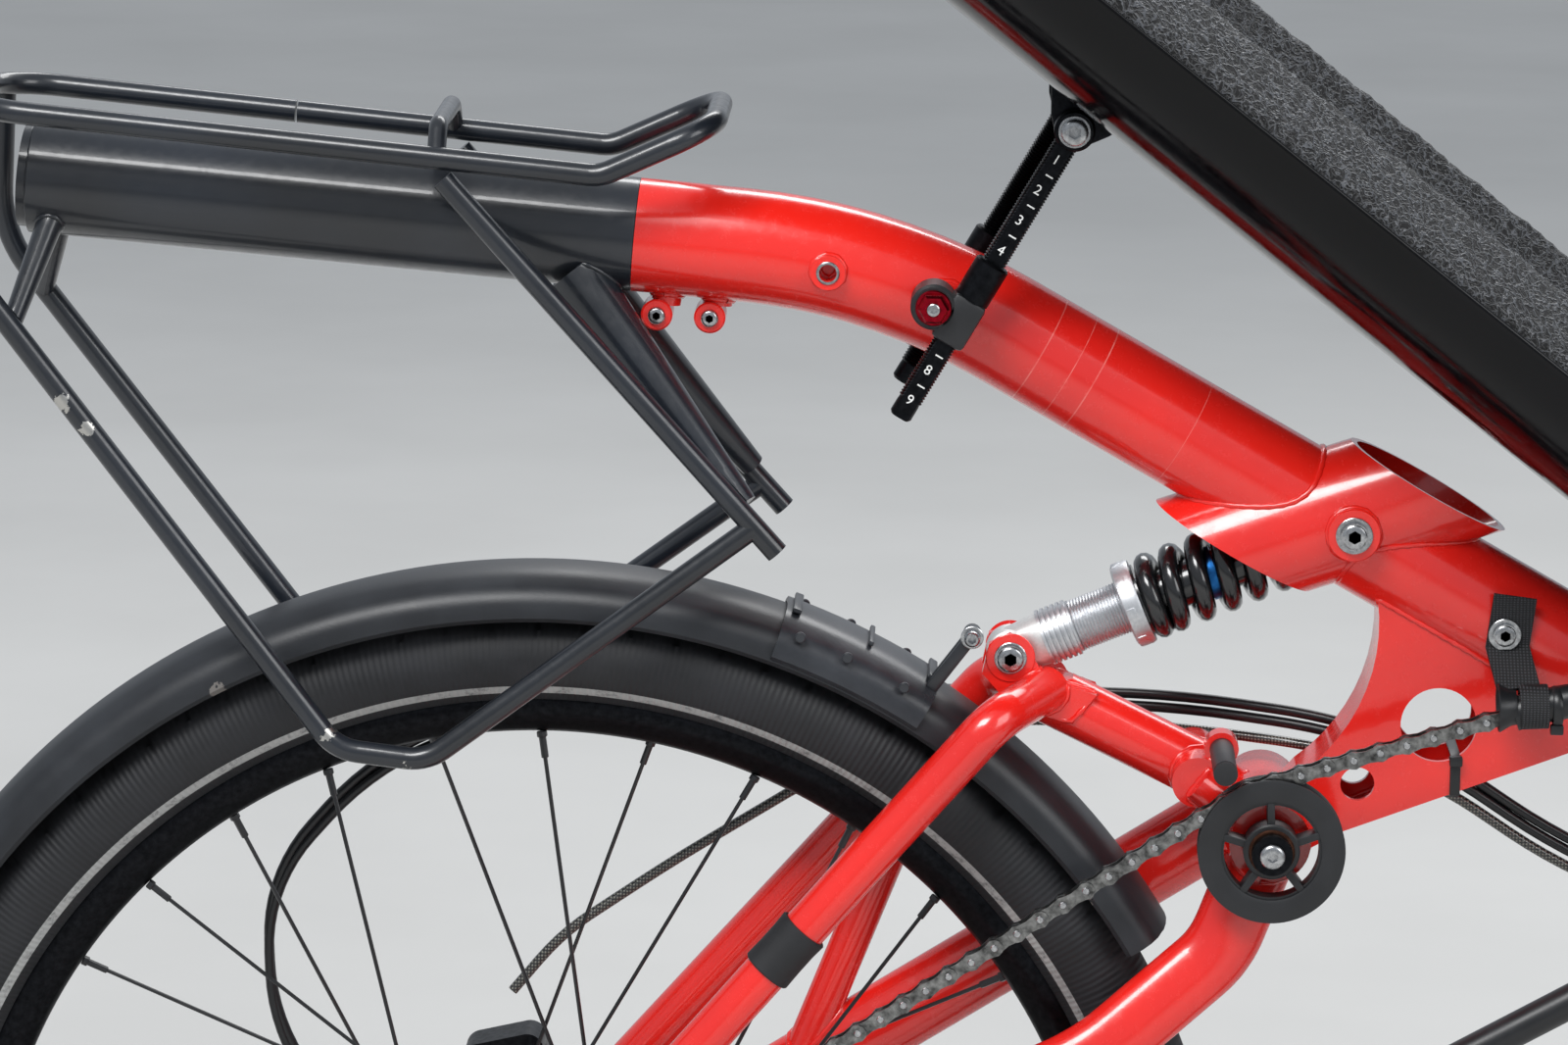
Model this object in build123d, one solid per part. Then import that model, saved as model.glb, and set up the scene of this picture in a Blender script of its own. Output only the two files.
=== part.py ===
from build123d import *
import os
from math import asin, atan2, cos, hypot, pi, radians, sin, tan

# Recumbent bicycle, millimetres.
# X points forward, Y to the bicycle's left and Z up.
# Every place below is measured from the middle of the rear axle.
# The exported parts have their origin on the seat, where the rider sits.

# Places of the frame and its wheels
FRONT_AXLE = (1090.0, -78.0)
PIVOT = (343.6, 226.7)
CRANK_AXLE = (1500.0, 395.0)
SEAT_ORIGIN = (612.0, 368.0)
STEER_TILT = 18.0
FORK_RAKE = 40.0
HEAD_LOW = 196.0
HEAD_HIGH = 332.0

# Main tube
TUBE_R = 26.5
TAIL_REAR = (-237.0, 528.0)
TAIL_FRONT = (44.0, 504.0)
MAIN_BEND = (158.8, 494.2)
MAIN_LOW = (640.0, 222.0)
MAIN_BEND_R = 300.0
LOW_BEND_R = 170.0
BOOM_JOINT = 1130.0
BOOM_R = 22.5
JOINT_GAP = 0.3
BRACKET_SHELL_R = 21.0
BRACKET_SHELL_HALF = 34.0

# Shock absorber and the sleeve it lies in
SHOCK_TOP = (378.9, 373.4)
SHOCK_LOW = (221.2, 307.7)
SLEEVE_CENTRE = (369.9, 375.7)
SLEEVE_SLOPE = 18.7
SLEEVE_R = 31.3
SLEEVE_WALL = 2.6
SLEEVE_PROUD = 9.0
SPRING_R = 21.0
SPRING_WIRE_R = 4.8
SPRING_TURNS = 6.5
SHOCK_BOLT_R = 4.0
RUNNING_GAP = 0.05
SEAT_GAP = 0.3

# Gusset box under the main tube
GUSSET_HALF = 17.5
GUSSET_WALL = 3.0
GUSSET_HOLES = [(422.2, 279.3, 17.8), (385.0, 250.2, 8.0)]
PIVOT_TUBE_R = 21.0
PIVOT_PIN_R = 8.0
STAY_OUT = 40.5
PEG = (320.5, 268.5)

# Rear wheel
REAR_TYRE_R = 328.0
REAR_TYRE_HALF = 25.0
REAR_TYRE_DEPTH = 45.0
REAR_RIM_DEPTH = 17.0
REAR_RIM_OUT = REAR_TYRE_R - REAR_TYRE_DEPTH
REAR_RIM_IN = REAR_RIM_OUT - REAR_RIM_DEPTH
RIM_HALF = 13.0
REAR_FLANGE_R = 50.0
REAR_FLANGE_Y = 29.0
REAR_HUB_R = 44.0
CARRIER_R = 14.5
REAR_DROPOUT_Y = 67.5
AXLE_R = 6.0

# Front wheel
FRONT_TYRE_R = 250.0
FRONT_TYRE_HALF = 23.5
FRONT_TYRE_DEPTH = 43.0
FRONT_RIM_DEPTH = 15.0
FRONT_RIM_OUT = FRONT_TYRE_R - FRONT_TYRE_DEPTH
FRONT_RIM_IN = FRONT_RIM_OUT - FRONT_RIM_DEPTH
FRONT_FLANGE_R = 29.0
FRONT_FLANGE_Y = 27.0
FRONT_HUB_R = 17.0
FRONT_DROPOUT_Y = 50.0
FORK_LOWER_R = 16.5
FORK_HALF = 58.0
CROWN_BOSS_ANGLE = 114.0
CROWN_BOSS_R = 286.0

SPOKES = 32
SPOKE_W = 2.2
SPOKE_SHIFT = 3.7
CROSS_ANGLE = 45.0
FLANGE_HALF = 1.5

# Brake discs
DISC_R = 80.0
DISC_T = 2.0
REAR_DISC_Y = 46.0
FRONT_DISC_Y = 35.5

# Chain
PITCH = 12.7
CHAIN_Y = -50.0
CHAIN_H = 8.6
CHAIN_W = 7.0
TOOTH_DEPTH = 3.4
ROLLER_GAP = 4.9
SPROCKET_TEETH = 13
RING_TEETH = 44
IDLER_TEETH = 15
JOCKEY_TEETH = 11
IDLER_GUARD_R = 34.5
JOCKEYS = [(8.0, -62.0), (64.0, -58.0)]
UPPER_GUIDE = (505.0, 152.0)
UPPER_GUIDE_R = 150.0
RISE_GUIDE = (770.0, 700.0)
RISE_GUIDE_R = 400.0
RETURN_GUIDE = (690.0, -73.0)
RETURN_GUIDE_R = 300.0
TUBE_OUT_R = 8.0
TUBE_IN_R = 5.9
TUBE_START_X = 454.0
TUBE_FRONT_X = 1385.0
TUBE_RETURN_X = 330.0

# Fender
FENDER_GAP = 19.0
FENDER_R = REAR_TYRE_R + FENDER_GAP
FENDER_T = 2.6
FENDER_HALF = 32.0
FENDER_LIP = 20.0
FENDER_ARC = (31.0, 172.0)
FRONT_FENDER_GAP = 14.0
FRONT_FENDER_R = FRONT_TYRE_R + FRONT_FENDER_GAP
FRONT_FENDER_HALF = 29.0
FRONT_FENDER_ARC = (62.0, 178.0)

# Rack
RACK_HALF = 48.0
RAIL_R = 5.3
RACK_BENDS = [60.0, 24.0, 24.0]

# Seat
SHELL_TOP = (75.0, 709.0)
SHELL_KNEE = (566.0, 324.0)
SHELL_FLOOR = (690.0, 320.0)
SHELL_FRONT = (826.0, 374.0)
KNEE_R = 170.0
FLOOR_R = 260.0
SHELL_T = 4.0
SHELL_FLAT = 80.0
PAD_T = 46.0
ROD_HALF = 45.0

# Cables
CABLE_R = 2.5
GUIDE_X = 596.0
GEAR_BOX = (-34.0, 78.0, 4.0)

# Steering
BAR_AXIS_LOW_Z = 160.0
BAR_AXIS = (620.0, 200.0)
ARM = 45.0
BAR_R = 11.0
GRIP_R = 15.5

# Cranks and pedals
CRANK_LENGTH = 170.0
CRANK_Y = 66.0
ARM_T = 12.0
PEDAL_LONG = 96.0
PEDAL_WIDE = 92.0
PEDAL_T = 24.0


# Helpers

def point(place, y=0.0):
    """A point in space from a place in side view and its distance to the left."""
    return Vector(place[0], y, place[1])


def pitch_radius(teeth):
    return PITCH / (2 * sin(pi / teeth))


def straight(a, b, radius):
    """A round bar between two points."""
    a, b = Vector(a), Vector(b)
    return extrude(Plane(origin=a, z_dir=b - a) * Circle(radius), (b - a).length)


def taper(a, b, radius_a, radius_b):
    """A cone between two points."""
    a, b = Vector(a), Vector(b)
    first = Plane(origin=a, z_dir=b - a) * Circle(radius_a)
    last = Plane(origin=b, z_dir=b - a) * Circle(radius_b)
    return loft([first.faces()[0], last.faces()[0]])


def bent(points, radius, bends, inner=0.0):
    """A round bar or tube along straight runs joined by tangent arcs."""
    path = FilletPolyline(*points, radius=bends)
    section = Plane(origin=path @ 0, z_dir=path % 0) * Circle(radius)
    if inner:
        section -= Plane(origin=path @ 0, z_dir=path % 0) * Circle(inner)
    return sweep(section, path=path)


def across(place, y_from, y_to, radius):
    """A round bar along Y at a place in side view."""
    return straight(point(place, y_from), point(place, y_to), radius)


def side_plane(y):
    """A drawing plane in side view whose local axes are X and Z; extrusions go to the right."""
    return Plane(origin=(0, y, 0), x_dir=(1, 0, 0), z_dir=(0, -1, 0))


def plate(face, y_low, y_high):
    """A side-view face extruded from one distance to the left to another."""
    return extrude(side_plane(y_high) * face, y_high - y_low)


def outline(*lines):
    return make_face(Curve() + list(lines))


def turned(profile, centre):
    """A solid of revolution about Y from (y, radius) points."""
    section = Polyline(*profile, close=True)
    drawing = Plane(origin=point(centre), x_dir=(0, 1, 0), z_dir=(1, 0, 0))
    return revolve(drawing * make_face(section), axis=Axis(point(centre), (0, 1, 0)))


def polar(centre, radius, angle):
    """A place in side view at an angle above the forward direction."""
    return (centre[0] + radius * cos(radians(angle)), centre[1] + radius * sin(radians(angle)))


def steer_point(z, base):
    """The place at a height on a line parallel to the steering axis."""
    return (base[0] - (z - base[1]) * tan(radians(STEER_TILT)), z)


STEER_DIR = (-sin(radians(STEER_TILT)), cos(radians(STEER_TILT)))
STEER_FWD = (cos(radians(STEER_TILT)), sin(radians(STEER_TILT)))
STEER_BASE = (FRONT_AXLE[0] - FORK_RAKE * STEER_FWD[0], FRONT_AXLE[1] - FORK_RAKE * STEER_FWD[1])


# Frame

def boom_slope():
    return atan2(CRANK_AXLE[1] - MAIN_LOW[1], CRANK_AXLE[0] - MAIN_LOW[0])


def boom_place(x):
    """A place on the front half of the main tube's centre line."""
    return (x, MAIN_LOW[1] + (x - MAIN_LOW[0]) * tan(boom_slope()))


def gusset_outline(inset=0.0):
    """Side view of the gusset, optionally drawn inwards by a wall."""
    rear_top = (389.0 + inset, 352.0)
    rear_mid = (392.0 + inset, 312.0)
    rear_low = (357.0 + inset, 254.0)
    nose = (PIVOT[0] + inset, PIVOT[1] + 12.0 - inset)
    heel = (PIVOT[0] + 6.0 + inset, PIVOT[1] - 16.0 + inset)
    bottom = (378.7, 227.0 + inset)
    front = (505.0 - 2 * inset, 275.0 + inset)
    top = (492.0 - 2 * inset, 300.0)
    return outline(
        ThreePointArc(rear_top, rear_mid, rear_low),
        Polyline(rear_low, nose, heel, bottom, front, top, rear_top),
    )


def shock_axis_tube(radius, length_extra):
    """A cylinder on the sleeve's axis, long enough to be trimmed."""
    along = Vector(cos(radians(SLEEVE_SLOPE)), 0, sin(radians(SLEEVE_SLOPE)))
    middle = point(SLEEVE_CENTRE)
    half = 60.0 + length_extra
    return straight(middle - along * half, middle + along * half, radius)


def main_tube(radius):
    line = [point(TAIL_FRONT), point(MAIN_BEND), point(MAIN_LOW), point(boom_place(BOOM_JOINT))]
    return bent(line, radius, [MAIN_BEND_R, LOW_BEND_R])


def main_frame():
    body = main_tube(TUBE_R)
    slope = atan2(MAIN_BEND[1] - MAIN_LOW[1], MAIN_LOW[0] - MAIN_BEND[0])
    trim_plane = Plane(origin=point(SLEEVE_CENTRE), x_dir=(cos(slope), 0, -sin(slope)), z_dir=(0, -1, 0))
    trim = extrude(trim_plane * Rectangle(300, 2 * (TUBE_R + SLEEVE_PROUD)), SLEEVE_R * 1.5, both=True)
    body += shock_axis_tube(SLEEVE_R, 30) & trim
    body += across(SHOCK_TOP, -SLEEVE_R - 5.0, SLEEVE_R + 5.0, 12.0)
    gusset = plate(gusset_outline(), -GUSSET_HALF, GUSSET_HALF)
    gusset += across(PIVOT, -GUSSET_HALF, GUSSET_HALF, PIVOT_TUBE_R)
    cavity = plate(gusset_outline(GUSSET_WALL * 2), -GUSSET_HALF + GUSSET_WALL, GUSSET_HALF - GUSSET_WALL)
    gusset -= cavity
    for x, z, radius in GUSSET_HOLES:
        gusset -= across((x, z), -GUSSET_HALF - 1, GUSSET_HALF + 1, radius)
    body += gusset
    body -= shock_axis_tube(SLEEVE_R - SLEEVE_WALL, 50)
    body -= across(SHOCK_TOP, -60, 60, SHOCK_BOLT_R + RUNNING_GAP)
    body -= across(PIVOT, -60, 60, PIVOT_PIN_R + RUNNING_GAP)
    head = [steer_point(z, STEER_BASE) for z in (HEAD_LOW, HEAD_HIGH)]
    body += straight(point(head[0]), point(head[1]), 20.0)
    body -= straight(point(steer_point(HEAD_LOW - 5, STEER_BASE)),
                     point(steer_point(HEAD_HIGH + 5, STEER_BASE)), 15.0)
    mount = [steer_point(z, BAR_AXIS) for z in (176.0, 212.0)]
    body += straight(point(mount[0]), point(mount[1]), 17.0)
    body -= straight(point(steer_point(170.0, BAR_AXIS)), point(steer_point(196.0, BAR_AXIS)), 8.05)
    for x in (60.0, 84.0):
        top = (x, 484.0)
        body += straight(point(top), point((x - 2.0, 472.0)), 7.0)
    body += across((134.0, 492.0), -TUBE_R - 4.0, 0, 8.0)
    body -= across((134.0, 492.0), -TUBE_R - 5.0, -TUBE_R + 8.0, 4.0)
    for side in (-1, 1):
        body += across(CLAMP, side * 20.0, side * (ROD_HALF - 12.0), 11.0)
    guide = Pos(GUIDE_X + 8.0, 21.0, 190.0) * Box(16.0, 16.0, 26.0)
    return body + guide


def boom():
    start = boom_place(BOOM_JOINT + JOINT_GAP)
    end = boom_place(CRANK_AXLE[0] - BRACKET_SHELL_R + 4.0)
    body = straight(point(start), point(end), BOOM_R)
    body += straight(point(start), point(boom_place(BOOM_JOINT + 34.0)), TUBE_R + 2.0)
    body += across(CRANK_AXLE, -BRACKET_SHELL_HALF, BRACKET_SHELL_HALF, BRACKET_SHELL_R)
    body -= across(CRANK_AXLE, -60, 60, 12.05)
    return body


def tail_tube():
    """The rear tube with its end cap, the split wishbone to the rack's struts and the rear hangers."""
    cap_at = point(TAIL_REAR)
    away = (cap_at - point(TAIL_FRONT)).normalized()
    body = straight(cap_at, point(TAIL_FRONT) + away * JOINT_GAP, TUBE_R)
    body += straight(cap_at, cap_at + away * 5.0, TUBE_R - 2.5)
    for side in (-1, 1):
        top, low = Vector(16.0, side * 12.0, 486.0), Vector(97.0, side * (RACK_HALF - 2.0), 386.0)
        body += taper(top, low, 15.0, 6.0)
        hanger_low = Vector(-241.0, side * (RACK_HALF + 2.0), 466.0)
        body += taper(Vector(-226.0, side * 14.0, 513.0), hanger_low, 6.5, 4.5)
        start, end = rack_strut_line(side)
        body -= straight(start, end + (end - start) * 0.2, RAIL_R + SEAT_GAP)
        body -= bent(rack_loop_line(side), RAIL_R + SEAT_GAP, RACK_BENDS)
    return body


# Swingarm

def swingarm():
    """Front strut with the shock's ears, seat stays, chain stays, dropouts and the peg's boss."""
    body = across(PIVOT, -STAY_OUT, -GUSSET_HALF - 1.0, 19.0) + across(PIVOT, GUSSET_HALF + 1.0, 64.0, 19.0)
    yoke = (PIVOT[0] - 34.0, PIVOT[1] + 26.0)
    body += across(yoke, -30.0, 30.0, 12.0)
    for side in (-1, 1):
        body += straight(point(yoke, side * 29.0), point(PIVOT, side * (GUSSET_HALF + 10.0)), 8.5)
    body += straight(point(yoke), point((238.0, 288.0)), 14.0)
    ear = make_face(Polyline((208.0, 300.0), (222.0, 284.0), (250.0, 277.0), (262.0, 290.0), (238.0, 298.0),
                             (230.0, 311.0), (221.0, 319.0), (211.0, 314.0), close=True))
    body += plate(ear, -14.0, 14.0)
    body -= plate(Pos(221.0, 314.0) * Rectangle(60.0, 36.0), -9.0, 9.0)
    for side in (-1, 1):
        stay = [point((240.0, 292.0), side * 8.0), point((214.0, 286.0), side * 50.0),
                point((157.0, 221.0), side * 54.0), point((-8.0, 30.0), side * REAR_DROPOUT_Y)]
        body += bent(stay, 10.5, [18.0, 200.0])
        dropout = make_face(Polyline((-24.0, 30.0), (0.0, 46.0), (60.0, 52.0), (96.0, 66.0), (96.0, 30.0),
                                     (40.0, -4.0), (16.0, -16.0), (-14.0, -16.0), close=True))
        body += plate(dropout, side * REAR_DROPOUT_Y - 4.0, side * REAR_DROPOUT_Y + 4.0)
    left_top, left_low = point((338.0, 222.0), 47.5), point((80.0, 54.0), REAR_DROPOUT_Y - 8.0)
    left = Plane(origin=left_low, x_dir=(0, 1, 0), z_dir=left_top - left_low) * Ellipse(15.0, 19.0)
    body += extrude(left, (left_top - left_low).length)
    near = FilletPolyline(point((338.0, 214.0), -29.5), point((322.0, 172.0), -31.5),
                          point((262.0, 122.0), -47.0), point((80.0, 42.0), -REAR_DROPOUT_Y + 5.0),
                          radius=[45.0, 120.0])
    section = Plane(origin=near @ 0, x_dir=(0, 1, 0), z_dir=near % 0) * Ellipse(11.0, 17.0)
    body += sweep(section, path=near)
    body += straight(point((172.0, 215.0), 53.0), point((120.0, 82.0), 54.0), 9.5)
    body += across(PEG, -28.0, -18.0, 8.0)
    body += across((275.0, 180.6), FENDER_HALF + SEAT_GAP, FENDER_HALF + 8.0, 5.5)
    body -= across((0, 0), -90.0, 90.0, AXLE_R + RUNNING_GAP)
    body -= across(PIVOT, -90.0, 90.0, PIVOT_PIN_R + RUNNING_GAP)
    body -= across(SHOCK_LOW, -60.0, 60.0, SHOCK_BOLT_R + RUNNING_GAP)
    return body


# Shock absorber

def shock_point(distance):
    """A point on the shock's axis, measured from its lower eye."""
    low, top = point(SHOCK_LOW), point(SHOCK_TOP)
    return low + (top - low).normalized() * distance


def shock_length():
    return hypot(SHOCK_TOP[0] - SHOCK_LOW[0], SHOCK_TOP[1] - SHOCK_LOW[1])


def shock_body():
    length = shock_length()
    body = across(SHOCK_LOW, -8.7, 8.7, 10.0) + across(SHOCK_TOP, -12.0, 12.0, 10.0)
    body += straight(shock_point(12.5), shock_point(34.0), 11.0)
    body += straight(shock_point(4.0), shock_point(14.0), 8.0)
    for start in (14.0, 20.0, 26.0):
        body += straight(shock_point(start), shock_point(start + 3.0), 13.5)
    body += straight(shock_point(34.0), shock_point(66.0), 12.5)
    body += straight(shock_point(58.0), shock_point(68.0), SPRING_R)
    body += straight(shock_point(68.0), shock_point(length - 30.0), 11.0)
    body += straight(shock_point(length - 34.0), shock_point(length - 6.0), 6.0)
    body += straight(shock_point(length - 20.0), shock_point(length - 14.0), SPRING_R)
    body -= across(SHOCK_LOW, -60.0, 60.0, SHOCK_BOLT_R + RUNNING_GAP)
    body -= across(SHOCK_TOP, -60.0, 60.0, SHOCK_BOLT_R + RUNNING_GAP)
    return body


def shock_spring():
    """A coil between the shock's two seats."""
    bottom = shock_point(68.0 + SPRING_WIRE_R + SEAT_GAP)
    top = shock_point(shock_length() - 20.0 - SPRING_WIRE_R - SEAT_GAP)
    height = (top - bottom).length
    mean = SPRING_R - SPRING_WIRE_R
    frame = Plane(origin=bottom, z_dir=top - bottom)
    coil = Helix(pitch=height / SPRING_TURNS, height=height, radius=mean)
    section = Plane(origin=coil @ 0, z_dir=coil % 0) * RegularPolygon(SPRING_WIRE_R, 8)
    wire = sweep(section, path=coil, is_frenet=True)
    return frame.location * wire


def bolt(place, y_low, y_high, radius, head_r, head_t):
    """A bolt along Y with a head at the right and a nut at the left."""
    body = across(place, y_low, y_high, radius)
    body += across(place, y_low - head_t, y_low, head_r)
    body += across(place, y_high, y_high + head_t, head_r)
    return body


def frame_bolts():
    top = bolt(SHOCK_TOP, -SLEEVE_R - 5.2, SLEEVE_R + 5.2, SHOCK_BOLT_R, 6.5, 4.0)
    low = bolt(SHOCK_LOW, -14.2, 14.2, SHOCK_BOLT_R, 6.5, 4.0)
    strap_bolt = across((450.5, 326.0), -TUBE_R - 6.4, -TUBE_R - 2.7, 5.5)
    return [top, low, strap_bolt]


# Wheels

def tyre(centre, outer, half, rim_out):
    ring = Pos(0, outer - half) * Circle(half)
    ring -= Rectangle(4 * half, 2 * rim_out)
    drawing = Plane(origin=point(centre), x_dir=(0, 1, 0), z_dir=(1, 0, 0))
    return revolve(drawing * ring, axis=Axis(point(centre), (0, 1, 0)))


def rim(centre, inner, outer):
    wall = 5.0
    profile = [(-RIM_HALF, outer), (RIM_HALF, outer), (RIM_HALF, outer - wall), (wall, inner), (-wall, inner),
               (-RIM_HALF, outer - wall)]
    return turned(profile, centre)


def spokes(centre, flange_r, flange_y, rim_in):
    """Crossed spokes; pairs lead and trail, and lie on either side of their flange."""
    pieces = []
    for i in range(SPOKES):
        side = 1 if i % 2 else -1
        lead = 1 if (i // 2) % 2 else -1
        rim_angle = 360.0 * i / SPOKES
        hub_angle = rim_angle + lead * CROSS_ANGLE
        start = point(polar(centre, flange_r - 2.5, hub_angle), side * (flange_y + lead * SPOKE_SHIFT))
        end = point(polar(centre, rim_in - SEAT_GAP, rim_angle), side * 3.0)
        along = Plane(origin=start, z_dir=end - start)
        pieces.append(extrude(along * Rectangle(SPOKE_W, SPOKE_W), (end - start).length))
    return pieces


def hub(centre, flange_r, flange_y, shell_r, dropout_y, disc_y):
    f = FLANGE_HALF
    edge = dropout_y - 6.0
    profile = [
        (-edge, AXLE_R + 3), (-edge, CARRIER_R), (-flange_y - 4, CARRIER_R), (-flange_y - f, shell_r - 2),
        (-flange_y - f, flange_r), (-flange_y + f, flange_r), (-flange_y + f, shell_r - 3),
        (0, shell_r), (flange_y - f, shell_r - 3), (flange_y - f, flange_r), (flange_y + f, flange_r),
        (flange_y + f, shell_r - 2), (disc_y - 3, 22.0), (disc_y - 1.3, 22.0), (edge, 12.0), (edge, AXLE_R + 3),
    ]
    body = turned(profile + [(edge, AXLE_R + RUNNING_GAP), (-edge, AXLE_R + RUNNING_GAP)], centre)
    return body


def axle(centre, dropout_y):
    """The fixed axle and its nuts."""
    reach = dropout_y + 16.0
    body = across(centre, -reach, reach, AXLE_R)
    for side in (-1, 1):
        low, high = sorted((side * (dropout_y + 4.2), side * (dropout_y + 11.0)))
        body += across(centre, low, high, 12.0)
    return body


def disc(centre, y):
    """A brake disc on its arms."""
    ring = Circle(DISC_R) - Circle(DISC_R - 16.0)
    face = ring + Circle(24.0) - Circle(22.4)
    for i in range(5):
        face += Rot(0, 0, 72 * i) * Pos(43.0, 0) * Rectangle(46.0, 9.0)
    for i in range(20):
        face -= Rot(0, 0, 18 * i) * Pos(DISC_R - 6.0 - 4.0 * (i % 2), 0) * Circle(2.4)
    face -= Circle(22.4)
    drawing = Plane(origin=point(centre, y + DISC_T / 2), x_dir=(1, 0, 0), z_dir=(0, -1, 0))
    return extrude(drawing * face, DISC_T)


def toothed(centre, y, teeth, thick, bore, arms=0):
    """A chain wheel whose teeth end under the rollers of a chain that stays still."""
    tip = pitch_radius(teeth) - ROLLER_GAP
    root = tip - TOOTH_DEPTH
    face = Circle(root)
    width = 2 * pi * root / teeth
    for i in range(teeth):
        tooth = Polyline((root - 1.5, -0.4 * width), (tip, -0.16 * width), (tip, 0.16 * width),
                         (root - 1.5, 0.4 * width), close=True)
        face += Rot(0, 0, 360.0 * i / teeth) * make_face(tooth)
    face -= Circle(bore)
    if arms:
        window = Circle(root - 8.0) - Circle(0.42 * root)
        for i in range(arms):
            window -= Rot(0, 0, 360.0 * i / arms) * Pos(root / 2, 0) * Rectangle(root, 0.26 * root)
        face -= window
    drawing = Plane(origin=point(centre, y + thick / 2), x_dir=(1, 0, 0), z_dir=(0, -1, 0))
    return extrude(drawing * face, thick)


def rear_axle_set():
    return axle((0, 0), REAR_DROPOUT_Y)


def front_axle_set():
    return axle(FRONT_AXLE, FRONT_DROPOUT_Y)


def sprocket():
    bore = CARRIER_R + SEAT_GAP
    carrier = turned([(CHAIN_Y - 2.5, bore), (-REAR_FLANGE_Y - 8.0, bore), (-REAR_FLANGE_Y - 8.0, bore + 1.6),
                      (CHAIN_Y - 2.5, bore + 1.6)], (0, 0))
    return carrier + toothed((0, 0), CHAIN_Y, SPROCKET_TEETH, 3.0, bore + 0.8)


# Fenders

def fender(centre, radius, half, arc):
    """A rounded gutter over the wheel, cut to its arc."""
    def gutter(grow):
        r = radius - grow
        h = half - grow
        return Polyline((-h, r - FENDER_LIP), (-h, r - 12.0), (-0.72 * h, r - 4.0), (-0.3 * h, r),
                        (0.3 * h, r), (0.72 * h, r - 4.0), (h, r - 12.0), (h, r - FENDER_LIP))
    outer, inner = gutter(0.0), gutter(FENDER_T)
    face = make_face(outer + Line(outer @ 1, inner @ 1) + inner + Line(inner @ 0, outer @ 0))
    drawing = Plane(origin=point(centre), x_dir=(0, 1, 0), z_dir=(1, 0, 0))
    start, end = arc
    turn = drawing * face
    turn = turn.rotate(Axis(point(centre), (0, 1, 0)), 90.0 - start)
    return revolve(turn, axis=Axis(point(centre), (0, -1, 0)), revolution_arc=end - start)


def rear_fender():
    return fender((0, 0), FENDER_R, FENDER_HALF, FENDER_ARC)


def fender_clip():
    """A clip over the fender with a link to the swingarm."""
    r = FENDER_R + SEAT_GAP
    drawing = Plane(origin=(0, 0, 0), x_dir=(0, 1, 0), z_dir=(1, 0, 0))
    saddle = Pos(0, r + 2.0) * Rectangle(2 * FENDER_HALF + 8.0, 4.0)
    for side in (-1, 1):
        saddle += Pos(side * (FENDER_HALF + 2.5), r - 6.0) * Rectangle(4.0, 20.0)
    turn = (drawing * saddle).rotate(Axis.Y, 90.0 - 57.0)
    body = revolve(turn, axis=Axis((0, 0, 0), (0, -1, 0)), revolution_arc=14.0)
    for angle in (58.5, 69.5):
        middle = polar((0, 0), r + 4.6, angle)
        body += across(middle, -FENDER_HALF - 2.0, FENDER_HALF + 2.0, 2.4)
    link_low = point(polar((0, 0), r + 5.0, 58.0), -18.8)
    body += straight(link_low, point((211.5, 300.0), -18.8), 4.5)
    return body


# Rack

def rack_strut_line(side):
    return point((-42.0, 535.8), side * RACK_HALF), point((112.5, 364.5), side * (RACK_HALF + 4.0))


def rack_loop_line(side):
    """The side loop from the rail's rear end down and up to the strut."""
    start, end = rack_strut_line(side)
    return [point((-258.0, 560.4), side * RACK_HALF), point((-262.0, 493.0), side * (RACK_HALF + 4)),
            point((-92.0, 269.0), side * (RACK_HALF + 8)), point((-50.0, 264.0), side * (RACK_HALF + 8)),
            start + (end - start) * 0.93]


def rack_rails():
    """The top ring and the hoop between its sides."""
    top_rear, top_front = (-262.0, 566.5), (30.0, 538.5)
    ring = [point((-120.0, 552.9), RACK_HALF), point(top_rear, RACK_HALF), point(top_rear, -RACK_HALF),
            point(top_front, -RACK_HALF), point((82.0, 562.0), -RACK_HALF), point((82.0, 562.0), RACK_HALF),
            point(top_front, RACK_HALF), point((-119.0, 552.8), RACK_HALF)]
    body = bent(ring, RAIL_R, [30.0, 30.0, 20.0, 22.0, 22.0, 20.0])
    hoop = [point((-45.0, 545.7), -RACK_HALF), point((-45.0, 559.0), -RACK_HALF + 12.0),
            point((-45.0, 559.0), RACK_HALF - 12.0), point((-45.0, 545.7), RACK_HALF)]
    body += bent(hoop, RAIL_R - 1.0, [8.0, 8.0])
    return body


def rack_struts():
    pieces = []
    for side in (-1, 1):
        start, end = rack_strut_line(side)
        body = straight(start, end, RAIL_R)
        body += bent(rack_loop_line(side), RAIL_R, RACK_BENDS)
        pieces.append(body)
    return pieces


# Seat

def seat_path():
    line = [point(SHELL_TOP), point(SHELL_KNEE), point(SHELL_FLOOR), point(SHELL_FRONT)]
    return FilletPolyline(*line, radius=[KNEE_R, FLOOR_R])


def shifted(points, distance):
    """An open line of points drawn to its left by a distance, with mitred corners."""
    normals = []
    for (x1, y1), (x2, y2) in zip(points, points[1:]):
        size = hypot(x2 - x1, y2 - y1)
        normals.append(((y1 - y2) / size, (x2 - x1) / size))
    moved = []
    for i, (x, y) in enumerate(points):
        (ax, ay), (bx, by) = normals[max(i - 1, 0)], normals[min(i, len(normals) - 1)]
        scale = distance / (1 + ax * bx + ay * by)
        moved.append((x + (ax + bx) * scale, y + (ay + by) * scale))
    return moved


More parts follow.
